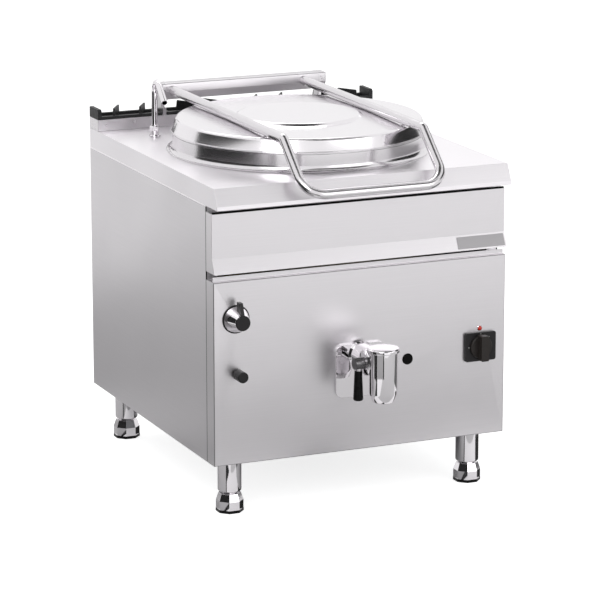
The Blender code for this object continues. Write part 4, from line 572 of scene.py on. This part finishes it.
def ring_brushed(name, tone, rough, centre, contrast=0.02):
    """Sheet spun on a lathe: its grain runs in rings round the upright axis through centre."""
    finish, shader = new_finish(name, 1.0, rough)
    tree = finish.node_tree
    coordinates = tree.nodes.new("ShaderNodeTexCoord")
    mapping = tree.nodes.new("ShaderNodeMapping")
    mapping.inputs["Location"].default_value = (-centre[0], -centre[1], 0.0)
    tree.links.new(coordinates.outputs["Object"], mapping.inputs["Vector"])
    spread = tree.nodes.new("ShaderNodeVectorMath")
    spread.operation = "MULTIPLY"
    spread.inputs[1].default_value = (1.0, 1.0, 0.0)
    tree.links.new(mapping.outputs["Vector"], spread.inputs[0])
    radius = tree.nodes.new("ShaderNodeVectorMath")
    radius.operation = "LENGTH"
    tree.links.new(spread.outputs["Vector"], radius.inputs[0])
    parts = tree.nodes.new("ShaderNodeSeparateXYZ")
    tree.links.new(mapping.outputs["Vector"], parts.inputs["Vector"])
    rings = tree.nodes.new("ShaderNodeCombineXYZ")
    tree.links.new(radius.outputs["Value"], rings.inputs["X"])
    tree.links.new(parts.outputs["Z"], rings.inputs["Y"])
    noise = tree.nodes.new("ShaderNodeTexNoise")
    noise.inputs["Scale"].default_value = LATHE_RINGS
    noise.inputs["Detail"].default_value = 2.0
    tree.links.new(rings.outputs["Vector"], noise.inputs["Vector"])
    tinted(finish, shader, noise.outputs["Fac"], steel_tone(tone * (1.0 - contrast)),
           steel_tone(tone * (1.0 + contrast)))
    roughened(finish, shader, pattern(finish, RING_PATCHES), rough - RING_SPREAD, rough + RING_SPREAD)
    embossed(finish, shader, noise.outputs["Fac"], RING_DEPTH, RING_RELIEF)
    return finish


def arc(centre, radius, start, end, steps=ARC_STEPS):
    """Points of an arc in an outline, as (radius, height), from start to end in degrees."""
    turns = [math.radians(start + (end - start) * step / steps) for step in range(steps + 1)]
    return [(centre[0] + radius * math.cos(a), centre[1] + radius * math.sin(a)) for a in turns]


collar_low, collar_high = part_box("well_collar")
collar_radius = (collar_high.x - collar_low.x) / 2 - COLLAR_FOOT
pan_axis = ((collar_low.x + collar_high.x) / 2, (collar_low.y + collar_high.y) / 2, 0.0)
collar_steel = ring_brushed("collar_steel", tone=0.74, rough=0.17, centre=pan_axis)
outline = arc((collar_radius + COLLAR_FOOT, collar_low.z + COLLAR_FOOT), COLLAR_FOOT, 270.0, 180.0)
outline += [(collar_radius, collar_high.z), (collar_radius - COLLAR_WALL, collar_high.z),
            (collar_radius - COLLAR_WALL, collar_low.z)]
fitted(turned(outline, pan_axis, steps=COLLAR_SIDES), "collar_ring", "kettle_body",
       collar_steel, ("well_collar",), COLLAR_LIP, steps=2)

# Pan: deep drawn stainless vessel with a flat rim, polished inside. The drain leaves at the front.
pan_steel = ring_brushed("pan_steel", tone=0.72, rough=0.22, centre=pan_axis)
softened("pan_vessel", "pan_shell", pan_steel, edge=0.0)

# Lid: pressed skin of polished sheet with a raised disc and a flared skirt rolled over a bead, a
# shallow inner tray and a silicone ring that seals on the pan's rim.
LID_SHEET = 0.0012
DISC_RADIUS = 0.155
DISC_SLOPE = 0.009
DISC_RISE = 0.0065
LID_RISE = 0.0022
LID_ROUND = 0.008
LID_FLARE = 0.011
LID_LEAN = 8.0
LID_PRESS = 0.0022
LID_PRESS_STEPS = 4
LID_SUPPORT = 0.004
LID_SIDES = 192
LID_BEAD = 0.0016
BEAD_INSET = 0.00128
BEAD_END = 345.0
BEAD_SIDES = 16
GASKET_EDGE = 0.0015
lid_low, lid_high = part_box("lid_skin")
lid_radius = (lid_high.x - lid_low.x) / 2
shoulder = lid_high.z - DISC_RISE
lid_steel = ring_brushed("lid_steel", tone=0.83, rough=0.17, centre=pan_axis, contrast=0.012)
outline = [(0.0, lid_high.z), (DISC_RADIUS, lid_high.z), (DISC_RADIUS + DISC_SLOPE, shoulder)]
outline += arc((lid_radius - LID_FLARE - LID_ROUND, shoulder - LID_RISE - LID_ROUND), LID_ROUND,
               90.0, LID_LEAN)
outline.append((lid_radius, lid_low.z))
flats = [(DISC_RADIUS - LID_SUPPORT, lid_high.z), (DISC_RADIUS + DISC_SLOPE + LID_SUPPORT, shoulder),
         (outline[3][0] - LID_SUPPORT, outline[3][1])]
outline = [outline[0], flats[0], *outline[1:3], flats[1], flats[2], *outline[3:]]
skin = bmesh.new()
points = [skin.verts.new((pan_axis[0] + r, pan_axis[1], z)) for r, z in outline]
edges = [skin.edges.new(pair) for pair in zip(points, points[1:])]
bmesh.ops.bevel(skin, geom=[points[2], points[3]], offset=LID_PRESS, segments=LID_PRESS_STEPS,
                profile=0.5, affect="VERTICES", material=-1)
bmesh.ops.spin(skin, geom=skin.verts[:] + skin.edges[:], cent=pan_axis, axis=(0.0, 0.0, 1.0),
               angle=math.tau, steps=LID_SIDES, use_merge=True, use_duplicate=False)
bmesh.ops.remove_doubles(skin, verts=skin.verts, dist=WELD / 10)
bmesh.ops.recalc_face_normals(skin, faces=skin.faces)
if sum(f.normal.z for f in skin.faces) < 0.0:
    bmesh.ops.reverse_faces(skin, faces=skin.faces)
bmesh.ops.solidify(skin, geom=skin.faces[:], thickness=LID_SHEET)
fitted(skin, "lid_pressing", "lid", lid_steel, ("lid_skin",))
bead = arc((lid_radius - BEAD_INSET, lid_low.z + LID_BEAD), LID_BEAD, 0.0, BEAD_END, BEAD_SIDES)
bead_steel = bright_metal("bead_steel", tone=0.80, rough=0.16)
fitted(turned(bead, pan_axis, steps=LID_SIDES), "lid_bead", "lid", bead_steel)
softened("lid_liner", "lid_tray", pan_steel, edge=0.0)
silicone = coated("white_silicone", (0.74, 0.73, 0.70), (0.82, 0.81, 0.78), rough=0.55, lump=300.0,
                  depth=0.0001, strength=0.25)
softened("lid_gasket", "lid_seal", silicone, GASKET_EDGE)

# Lid handle: one polished stainless tube bent over a former, open at its two rear ends, with two
# short studs under its arms that are welded to the lid.
TUBE_RADIUS = 0.0125
TUBE_WALL = 0.002
TUBE_SIDES = 36
HANDLE_HALF = 0.190
HANDLE_KNEE_RADIUS = 0.015
HANDLE_CORNER_RADIUS = 0.058
HANDLE_FALL = 0.118
HANDLE_KNEE_LEAD = 0.135
STUD_RADIUS = 0.0055
STUD_WASHER = 0.010
STUD_WASHER_HEIGHT = 0.0012
STUD_FILLET = 0.0010
STUD_INSET = 0.020
STUD_SINK = 0.8
STUD_SIDES = 32
BEND_STEP = math.radians(6.0)


def bent_tube(corners, bends, radius, sides=TUBE_SIDES):
    """A tube along the corners: a ring pushed along each straight and spun round each bend."""
    bm = bmesh.new()
    corners = [Vector(c) for c in corners]
    ahead = (corners[1] - corners[0]).normalized()
    here = corners[0].copy()
    stand = Matrix.Translation(here) @ ahead.to_track_quat("Z", "Y").to_matrix().to_4x4()
    bmesh.ops.create_circle(bm, cap_ends=False, radius=radius, segments=sides, matrix=stand)
    ring = bm.edges[:]
    for count, corner in enumerate(corners[1:]):
        last = count == len(corners) - 2
        if not last:
            onward = (corners[count + 2] - corner).normalized()
            angle = ahead.angle(onward)
            setback = bends[count] * math.tan(angle / 2)
        target = corner if last else corner - ahead * setback
        pushed = bmesh.ops.extrude_edge_only(bm, edges=ring)["geom"]
        verts = [v for v in pushed if isinstance(v, bmesh.types.BMVert)]
        moved = set(verts)
        ring = [e for e in pushed if isinstance(e, bmesh.types.BMEdge) and set(e.verts) <= moved]
        bmesh.ops.translate(bm, verts=verts, vec=target - here)
        here = target
        if not last:
            inward = (onward - ahead * math.cos(angle)).normalized()
            spun = bmesh.ops.spin(bm, geom=verts + ring, cent=here + inward * bends[count],
                                  axis=ahead.cross(onward).normalized(), angle=angle,
                                  steps=max(3, round(angle / BEND_STEP)), use_duplicate=False)
            ring = [e for e in spun["geom_last"] if isinstance(e, bmesh.types.BMEdge)]
            here = corner + onward * setback
            ahead = onward
    bmesh.ops.recalc_face_normals(bm, faces=bm.faces)
    return bm


def walled(bm, wall):
    """Gives an open tube its wall, inward from the outside."""
    bmesh.ops.solidify(bm, geom=bm.faces[:], thickness=wall)
    return bm


tube_steel = bright_metal("handle_steel", tone=0.74, rough=0.21)
handle_low, handle_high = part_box("lid_handle")
arm_z = handle_high.z - TUBE_RADIUS
bar_y = handle_low.y + TUBE_RADIUS
knee_y = bar_y + HANDLE_KNEE_LEAD
bar_z = arm_z - HANDLE_FALL
corners = [(-HANDLE_HALF, handle_high.y, arm_z), (-HANDLE_HALF, knee_y, arm_z), (-HANDLE_HALF, bar_y, bar_z),
           (HANDLE_HALF, bar_y, bar_z), (HANDLE_HALF, knee_y, arm_z), (HANDLE_HALF, handle_high.y, arm_z)]
bends = (HANDLE_KNEE_RADIUS, HANDLE_CORNER_RADIUS, HANDLE_CORNER_RADIUS, HANDLE_KNEE_RADIUS)
fitted(walled(bent_tube(corners, bends, TUBE_RADIUS), TUBE_WALL), "handle_tube", "lid",
       tube_steel, ("lid_handle",))
stud_reach = math.sqrt((lid_radius - LID_FLARE - STUD_INSET) ** 2 - HANDLE_HALF ** 2)
stud_foot = shoulder - LID_RISE
stud_top = arm_z - TUBE_RADIUS * STUD_SINK
for hand, x in (("left", -HANDLE_HALF), ("right", HANDLE_HALF)):
    washer_top = stud_foot + STUD_WASHER_HEIGHT
    outline = [(0.0, stud_foot), (STUD_WASHER, stud_foot), (STUD_WASHER, washer_top),
               (STUD_RADIUS, washer_top + STUD_FILLET), (STUD_RADIUS, stud_top), (0.0, stud_top)]
    fitted(turned(outline, (x, pan_axis[1] - stud_reach, 0.0), steps=STUD_SIDES), "handle_stud_" + hand,
           "lid", polished)

# Hinge housing: folded satin cover across the back of the lid, closed by an end cap at each side
# with two screws. Under it the shaft turns in two posts that stand on the riser, between springs.
HOUSING_EDGE = 0.0010
POST_EDGE = 0.0008
CAP_WIDTH = 0.019
CAP_PROUD = 0.0004
CAP_SCREW_RADIUS = 0.0024
CAP_SCREW_PLACES = ((0.0075, 0.01815), (0.0115, 0.01095))
housing_steel = brushed_sheet("housing_steel", tone=0.58, rough=0.30, stretch=GRAIN_ACROSS)
softened("hinge_housing", "housing_cover", housing_steel, HOUSING_EDGE)
softened("housing_end_left", "housing_cap_left", housing_steel, HOUSING_EDGE / 2)
softened("housing_end_right", "housing_cap_right", housing_steel, HOUSING_EDGE / 2)
cover_low, cover_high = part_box("hinge_housing")
for hand, side, x in (("left", -1.0, cover_low.x), ("right", 1.0, cover_high.x)):
    wrap = joined_copy("hinge_housing")
    cut_at = Vector((x - side * CAP_WIDTH, 0.0, 0.0))
    geometry = wrap.verts[:] + wrap.edges[:] + wrap.faces[:]
    bmesh.ops.bisect_plane(wrap, geom=geometry, dist=WELD, plane_co=cut_at, plane_no=(side, 0.0, 0.0),
                           clear_inner=True)
    bmesh.ops.holes_fill(wrap, edges=[e for e in wrap.edges if e.is_boundary])
    middle = Vector((0.0, (cover_low.y + cover_high.y) / 2, (cover_low.z + cover_high.z) / 2))
    depth = cover_high.y - cover_low.y
    height = cover_high.z - cover_low.z
    bmesh.ops.scale(wrap, vec=(1.0, 1.0 + 2 * CAP_PROUD / depth, 1.0 + 2 * CAP_PROUD / height),
                    space=Matrix.Translation(-middle), verts=wrap.verts)
    bmesh.ops.recalc_face_normals(wrap, faces=wrap.faces)
    fitted(wrap, "housing_wrap_" + hand, "lid", housing_steel, edge=HOUSING_EDGE / 2)
    for count, (inset, drop) in enumerate(CAP_SCREW_PLACES):
        place = (x - side * inset, cover_low.y - CAP_PROUD, cover_high.z - drop)
        screw(f"housing_screw_{hand}_{count}", place, (0.0, -1.0, 0.0), "lid", CAP_SCREW_RADIUS)
softened("hinge_post_left", "post_left", housing_steel, POST_EDGE)
softened("hinge_post_right", "post_right", housing_steel, POST_EDGE)
softened("hinge_shaft", "shaft_bar", polished, edge=0.0)
spring_wire = bright_metal("spring_wire", tone=0.38, rough=0.30)
softened("balance_spring_left", "spring_left", spring_wire, edge=0.0)
softened("balance_spring_right", "spring_right", spring_wire, edge=0.0)

# Water spout: chromed swan neck that turns in a foot with a flange, a hexagonal nut and a gland.
# The outlines are in shares of the flange's radius and of the nut's top above the worktop.
SPOUT_RADIUS = 0.008
SPOUT_WALL = 0.0015
SPOUT_SIDES = 28
SPOUT_BEND = 0.035
SPOUT_RISE = 0.1735
SPOUT_REACH = 0.116
SPOUT_FALL = math.radians(29.0)
SPOUT_TURN = math.radians(8.0)
FLANGE_HEIGHT = 0.0035
FLANGE_CROWN = 0.0018
THREAD_SHARE = 0.6
SOCKET_OUTLINE = ((0.68, 0.5), (0.62, 0.95), (0.0, 0.95))
NUT_OUTLINE = ((0.0, 0.5), (0.80, 0.5), (0.88, 0.56), (0.88, 0.84), (0.78, 0.92), (0.0, 0.92))
GLAND_OUTLINE = ((0.0, 0.9), (0.66, 0.9), (0.62, 1.0), (0.0, 1.0))
NUT_EDGE = 0.0006
GLAND_EDGE = 0.0004
chrome = bright_metal("chrome_plate", tone=0.84, rough=0.05, smear=0.015)
base_low, base_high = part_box("spout_base")
foot = Vector(((base_low.x + base_high.x) / 2, (base_low.y + base_high.y) / 2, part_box("worktop")[1].z))
flange = (base_high.x - base_low.x) / 2
nut_high = base_high.z - foot.z
outline = [(0.0, base_low.z - foot.z), (flange * THREAD_SHARE, base_low.z - foot.z),
           (flange * THREAD_SHARE, 0.0), (flange, 0.0), (flange, FLANGE_HEIGHT),
           (flange * SOCKET_OUTLINE[0][0], FLANGE_HEIGHT + FLANGE_CROWN)]
outline += [(flange * r, nut_high * h) for r, h in SOCKET_OUTLINE]
fitted(turned(outline, foot, steps=48), "spout_foot", "kettle_body", chrome, ("spout_base",),
       NUT_EDGE, steps=2)
outline = [(flange * r, nut_high * h) for r, h in NUT_OUTLINE]
fitted(turned(outline, foot, steps=6), "spout_nut", "kettle_body", chrome, edge=NUT_EDGE, steps=2)
outline = [(flange * r, nut_high * h) for r, h in GLAND_OUTLINE]
fitted(turned(outline, foot, steps=32), "spout_gland", "kettle_body", chrome, edge=GLAND_EDGE,
       steps=2)
along = Vector((-math.sin(SPOUT_TURN), -math.cos(SPOUT_TURN), 0.0))
top = foot + Vector((0.0, 0.0, SPOUT_RISE))
mouth = top + along * SPOUT_REACH - Vector((0.0, 0.0, SPOUT_REACH * math.tan(SPOUT_FALL)))
start = Vector((foot.x, foot.y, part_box("spout_tube")[0].z))
neck = walled(bent_tube([start, top, mouth], (SPOUT_BEND,), SPOUT_RADIUS, SPOUT_SIDES), SPOUT_WALL)
fitted(neck, "spout_neck", "water_spout", chrome, ("spout_tube",))

# Drain tap: chromed brass casting with a square back plate, a barrel, a boss for the plug and an
# outlet that points down under a low cap. The lever has a round hub, a shank and a black grip.
PLATE_EDGE = 0.0022
TAP_CAP_RADIUS = 0.0405
TAP_CAP_HEIGHT = 0.014
TAP_CAP_LIP = 0.0010
TAP_CROWN = 0.006
TAP_DOME = ((0.93, 0.0027), (0.72, 0.0010), (0.40, 0.0), (0.0, 0.0))
TAP_BODY_RADIUS = 0.0355
TAP_MOUTH_RADIUS = 0.0275
TAP_MOUTH_LIP = 0.0015
TAP_BORE = 0.0215
TAP_ROOF = 0.012
TAP_SHOULDER = 0.0235
TAP_EDGE = 0.0011
BARREL_RADIUS = 0.030
BARREL_SWELL = ((1.0, 0.014), (1.10, 0.010), (1.16, 0.0075), (0.0, 0.0075))
BARREL_EDGE = 0.0010
BOSS_RADIUS = 0.033
BOSS_LENGTH = 0.0655
BOSS_PROUD = 0.0033
BOSS_CHAMFER = 0.0030
BOSS_EDGE = 0.0008
BOSS_SIDES = 64
COVER_RADIUS = 0.0285
COVER_OUTLINE = ((0.0, 0.0), (0.62, 0.0), (0.95, 0.0012), (1.0, 0.0024), (1.0, 0.0060), (0.0, 0.0060))
COVER_CLEAR = 0.0002
HUB_EDGE = 0.0010
NECK_RADIUS = 0.0088
NECK_LENGTH = 0.011
NECK_OVERLAP = 0.001
NECK_SHOULDER, NECK_TAPER = 0.8, 0.86
NECK_EDGE = 0.0005
GRIP_TOP, GRIP_END, GRIP_DOME = 0.0095, 0.0125, 0.005
GRIP_CHAMFER, GRIP_SHARE = 0.0015, 0.86
softened("tap_escutcheon", "tap_plate", chrome, PLATE_EDGE)
plate_low, plate_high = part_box("tap_escutcheon")
tap_low, tap_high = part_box("tap_body")
tap_axis = Vector(((plate_low.x + plate_high.x) / 2, tap_low.y + TAP_CAP_RADIUS, 0.0))
bottom, crown = tap_low.z, tap_high.z
outline = [(0.0, crown - TAP_ROOF), (TAP_BORE, crown - TAP_ROOF), (TAP_BORE, bottom + TAP_MOUTH_LIP),
           (TAP_MOUTH_RADIUS - TAP_MOUTH_LIP, bottom), (TAP_MOUTH_RADIUS, bottom + TAP_MOUTH_LIP),
           (TAP_BODY_RADIUS, bottom + TAP_SHOULDER), (TAP_BODY_RADIUS, crown - TAP_CAP_HEIGHT),
           (TAP_CAP_RADIUS, crown - TAP_CAP_HEIGHT + TAP_CAP_LIP), (TAP_CAP_RADIUS, crown - TAP_CROWN)]
outline += [(TAP_CAP_RADIUS * share, crown - drop) for share, drop in TAP_DOME]
fitted(turned(outline, tap_axis, steps=96), "tap_outlet_body", "kettle_body", chrome,
       ("tap_body",), TAP_EDGE)
lever_low, lever_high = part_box("tap_plug")
boss_y = (lever_low.y + lever_high.y) / 2
boss_z = (lever_low.z + lever_high.z) / 2
panel_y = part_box("front_panel")[0].y
barrel_z = (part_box("drain_pipe")[0].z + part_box("drain_pipe")[1].z) / 2
barrel_length = panel_y - tap_axis.y
outline = [(0.0, 0.0), (BARREL_RADIUS, 0.0)]
outline += [(BARREL_RADIUS * share, barrel_length - back) for share, back in BARREL_SWELL]
fitted(turned(outline, (tap_axis.x, tap_axis.y, barrel_z), (0.0, 1.0, 0.0), BOSS_SIDES), "tap_barrel",
       "kettle_body", chrome, edge=BARREL_EDGE, steps=2)
outline = [(0.0, 0.0), (BOSS_RADIUS - BOSS_CHAMFER, 0.0), (BOSS_RADIUS, BOSS_CHAMFER),
           (BOSS_RADIUS, BOSS_LENGTH), (0.0, BOSS_LENGTH)]
boss_start = (lever_high.x + BOSS_PROUD - BOSS_LENGTH, boss_y, boss_z)
fitted(turned(outline, boss_start, (1.0, 0.0, 0.0), BOSS_SIDES), "tap_boss", "kettle_body",
       chrome, edge=BOSS_EDGE, steps=2)
softened("tap_plug", "plug_core", chrome, edge=0.0)
outline = [(COVER_RADIUS * share, along) for share, along in COVER_OUTLINE]
cover_start = (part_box("lever_hub")[1].x + COVER_CLEAR, boss_y, boss_z)
fitted(turned(outline, cover_start, (1.0, 0.0, 0.0), BOSS_SIDES), "tap_gland", "kettle_body",
       chrome, edge=GLAND_EDGE, steps=2)
dark_chrome = bright_metal("dark_chrome", tone=0.14, rough=0.22)
softened("lever_hub", "lever_boss", dark_chrome, HUB_EDGE)
grip_low, grip_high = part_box("lever_grip")
grip_start = ((grip_low.x + grip_high.x) / 2, (grip_low.y + grip_high.y) / 2, grip_high.z)
grip_foot = grip_low.z - grip_high.z
black_gloss = coated("black_gloss", (0.003, 0.003, 0.003), (0.006, 0.006, 0.006), rough=0.26,
                     lump=1400.0, depth=0.0001, strength=0.2, gloss=0.12)
outline = [(0.0, -NECK_OVERLAP), (NECK_RADIUS, -NECK_OVERLAP), (NECK_RADIUS, NECK_LENGTH * NECK_SHOULDER),
           (NECK_RADIUS * NECK_TAPER, NECK_LENGTH), (0.0, NECK_LENGTH)]
fitted(turned(outline, grip_start, steps=40), "lever_neck", "drain_lever", chrome,
       edge=NECK_EDGE, steps=2)
outline = [(0.0, 0.0), (GRIP_TOP * GRIP_SHARE, 0.0), (GRIP_TOP, GRIP_CHAMFER),
           (GRIP_END, grip_foot + GRIP_DOME)]
outline += arc((GRIP_END - GRIP_DOME, grip_foot + GRIP_DOME), GRIP_DOME, 0.0, -90.0)[1:]
outline.append((0.0, grip_foot))
fitted(turned(outline, grip_start, steps=48), "lever_handle", "drain_lever",
       black_gloss, ("lever_grip",))

# Gas knob: black bezel ring on the panel, chromed cone, black cap with an upright pointer fin.
# The cone and its cap are pressed on the valve's spindle.
BEZEL_RADIUS = 0.036
BEZEL_SEAT = 0.0003
BEZEL_HEIGHT = 0.0030
BEZEL_CHAMFER = 0.0012
BEZEL_EDGE = 0.0004
CONE_EDGE = 0.0010
POINTER_EDGE = 0.0007
OUTWARD = (0.0, -1.0, 0.0)
black_plastic = coated("black_moulding", (0.010, 0.009, 0.010), (0.018, 0.017, 0.018), rough=0.36,
                       lump=1400.0, depth=0.0001, strength=0.3)
bezel_low, bezel_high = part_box("knob_bezel")
face = ((bezel_low.x + bezel_high.x) / 2, panel_y, (bezel_low.z + bezel_high.z) / 2)
outline = [(0.0, BEZEL_SEAT), (BEZEL_RADIUS, BEZEL_SEAT), (BEZEL_RADIUS, BEZEL_HEIGHT - BEZEL_CHAMFER),
           (BEZEL_RADIUS - BEZEL_CHAMFER, BEZEL_HEIGHT), (0.0, BEZEL_HEIGHT)]
fitted(turned(outline, face, OUTWARD), "knob_ring", "kettle_body", black_plastic,
       ("knob_bezel",), BEZEL_EDGE, steps=2)
softened("control_knob", "knob_cone", chrome, CONE_EDGE)
softened("knob_cap", "knob_pointer_cap", black_plastic, POINTER_EDGE)

# Igniter button and sight plug: turned black mouldings on the front panel. The button slides in its
# own bore, the plug is pressed into a hole.
softened("igniter_button", "button_black", black_plastic, edge=0.0010)
softened("sight_plug", "sight_cap", black_rubber, edge=0.0004)

# Pilot lamp: red lens in a thin chromed rim. Main switch: square black body with three plain ticks,
# round disc and grip bar.
LAMP_RADIUS = 0.0062
LAMP_SUNK = 0.002
LAMP_SIDES = 40
LENS_FOOT, LENS_SHARE, LENS_LIP = 0.8, 0.92, 0.0018
LENS_GLOW = 0.12
RIM_OUTLINE = ((0.86, 0.0), (1.12, 0.0), (1.12, 0.0010), (0.94, 0.0020), (0.86, 0.0010))
FACETS = (900.0, 900.0, 900.0)
SWITCH_EDGE = 0.0012
MARK_ANGLES = (0.0, 45.0, -90.0)
MARK_INNER, MARK_LENGTH, MARK_WIDTH = 0.0315, 0.0038, 0.0012
MARK_PROUD, MARK_SUNK, MARK_EDGE = 0.00012, 0.0003, 0.0001
lamp_low, lamp_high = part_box("pilot_lamp")
lamp_face = ((lamp_low.x + lamp_high.x) / 2, panel_y, (lamp_low.z + lamp_high.z) / 2)
red_lens, lens_shader = new_finish("red_lens", metal=0.0, rough=0.14)
facets = pattern(red_lens, FACETS, detail=1.0)
tinted(red_lens, lens_shader, facets, (0.34, 0.018, 0.010), (0.48, 0.035, 0.018))
embossed(red_lens, lens_shader, facets, depth=0.0002, strength=0.3)
lens_shader.inputs["Emission Color"].default_value = (0.8, 0.03, 0.01, 1.0)
lens_shader.inputs["Emission Strength"].default_value = LENS_GLOW
lens_radius = LAMP_RADIUS * LENS_SHARE
outline = [(0.0, -LAMP_SUNK), (LAMP_RADIUS * LENS_FOOT, -LAMP_SUNK), (lens_radius, LENS_LIP)]
outline += arc((0.0, LENS_LIP), lens_radius, 0.0, 90.0, 8)[1:]
outline[-1] = (0.0, outline[-1][1])
fitted(turned(outline, lamp_face, OUTWARD, LAMP_SIDES), "lamp_lens", "kettle_body", red_lens,
       ("pilot_lamp",))
outline = [(LAMP_RADIUS * share, along) for share, along in RIM_OUTLINE]
fitted(turned(outline, lamp_face, OUTWARD, LAMP_SIDES), "lamp_rim", "kettle_body", chrome)
switch_black = coated("switch_black", (0.018, 0.015, 0.014), (0.028, 0.024, 0.022), rough=0.34,
                      lump=1400.0, depth=0.0001, strength=0.3)
softened("switch_body", "switch_plate", black_plastic, SWITCH_EDGE)
softened("switch_handle", "switch_grip", switch_black, SWITCH_EDGE)
mark_white = coated("mark_white", (0.50, 0.50, 0.49), (0.62, 0.62, 0.60), rough=0.5, lump=900.0,
                    depth=0.00005, strength=0.2)
plate_low, plate_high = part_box("switch_body")
plate_middle = Vector(((plate_low.x + plate_high.x) / 2, plate_low.y, (plate_low.z + plate_high.z) / 2))
for count, angle in enumerate(MARK_ANGLES):
    mark = strip((-MARK_WIDTH / 2, -MARK_PROUD, MARK_INNER),
                 (MARK_WIDTH / 2, MARK_SUNK, MARK_INNER + MARK_LENGTH))
    bmesh.ops.rotate(mark, cent=(0.0, 0.0, 0.0), matrix=Matrix.Rotation(math.radians(angle), 3, "Y"),
                     verts=mark.verts)
    bmesh.ops.translate(mark, vec=plate_middle, verts=mark.verts)
    fitted(mark, f"switch_mark_{count}", "kettle_body", mark_white, edge=MARK_EDGE, steps=2)

# Legs: stainless sleeves under the base frame, and eight-sided screw feet with a rubber pad.
SLEEVE_ROUND = 0.005
SLEEVE_SIDES = 64
FOOT_EDGE = 0.0010
FOOT_SIDES = 8
PAD_RADIUS = 0.0356
PAD_HEIGHT = 0.0080
PAD_CHAMFER = 0.001
PAD_EDGE = 0.0006
for corner in ("front_left", "front_right", "rear_left", "rear_right"):
    low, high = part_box("leg_" + corner)
    radius = (high.x - low.x) / 2
    middle = ((low.x + high.x) / 2, (low.y + high.y) / 2, 0.0)
    outline = [(0.0, high.z), (radius, high.z), (radius, low.z + SLEEVE_ROUND)]
    outline += arc((radius - SLEEVE_ROUND, low.z + SLEEVE_ROUND), SLEEVE_ROUND, 0.0, -90.0)[1:]
    outline.append((0.0, low.z))
    fitted(turned(outline, middle, steps=SLEEVE_SIDES), "sleeve_" + corner, "kettle_body",
           polished, ("leg_" + corner,))
    softened("foot_" + corner, "screw_foot_" + corner + "_steel", polished, FOOT_EDGE)
    outline = [(0.0, 0.0), (PAD_RADIUS - PAD_CHAMFER, 0.0), (PAD_RADIUS, PAD_CHAMFER),
               (PAD_RADIUS, PAD_HEIGHT), (0.0, PAD_HEIGHT)]
    pad = turned(outline, middle, steps=FOOT_SIDES, turn=math.pi / FOOT_SIDES)
    fitted(pad, "foot_pad_" + corner, "screw_foot_" + corner, black_gloss, edge=PAD_EDGE,
           steps=2)

# Inside the cabinet: galvanised frame, jacket and firebox, duct, wool, burner and brass pipes. They
# are the frame's own pieces with their finishes.
SPANGLES = 90.0
SHEET_RIPPLES = (200.0, 200.0, 200.0)
BRASS_CLOUDS = (60.0, 60.0, 60.0)
BRASS_LOW, BRASS_HIGH = (0.62, 0.44, 0.19), (0.74, 0.56, 0.28)
galvanised, shader = new_finish("galvanised_sheet", metal=1.0, rough=0.42)
spangle = galvanised.node_tree.nodes.new("ShaderNodeTexVoronoi")
spangle.inputs["Scale"].default_value = SPANGLES
coordinates = galvanised.node_tree.nodes.new("ShaderNodeTexCoord")
galvanised.node_tree.links.new(coordinates.outputs["Object"], spangle.inputs["Vector"])
tinted(galvanised, shader, spangle.outputs["Distance"], (0.44, 0.45, 0.47), (0.54, 0.55, 0.56))
roughened(galvanised, shader, spangle.outputs["Distance"], low=0.36, high=0.50)
embossed(galvanised, shader, pattern(galvanised, SHEET_RIPPLES), depth=0.00003, strength=0.3)
wool = coated("mineral_wool", (0.42, 0.37, 0.26), (0.62, 0.57, 0.44), rough=0.9, lump=700.0, depth=0.002,
              strength=0.8)
brass = bright_metal("plain_brass", tone=0.62, rough=0.30)
tinted(brass, brass.node_tree.nodes["Principled BSDF"], pattern(brass, BRASS_CLOUDS), BRASS_LOW,
       BRASS_HIGH)
for node, finish in (("base_frame", galvanised), ("flue_duct", galvanised), ("firebox_shell", galvanised),
                     ("steam_jacket", pan_steel), ("jacket_insulation", wool), ("gas_burner", polished),
                     ("drain_pipe", polished), ("gas_valve", brass), ("gas_supply_pipe", brass),
                     ("gas_burner_pipe", brass), ("water_pipe", brass), ("safety_valve", brass),
                     ("piezo_igniter", black_plastic)):
    nodes[node].data.materials.clear()
    nodes[node].data.materials.append(finish)
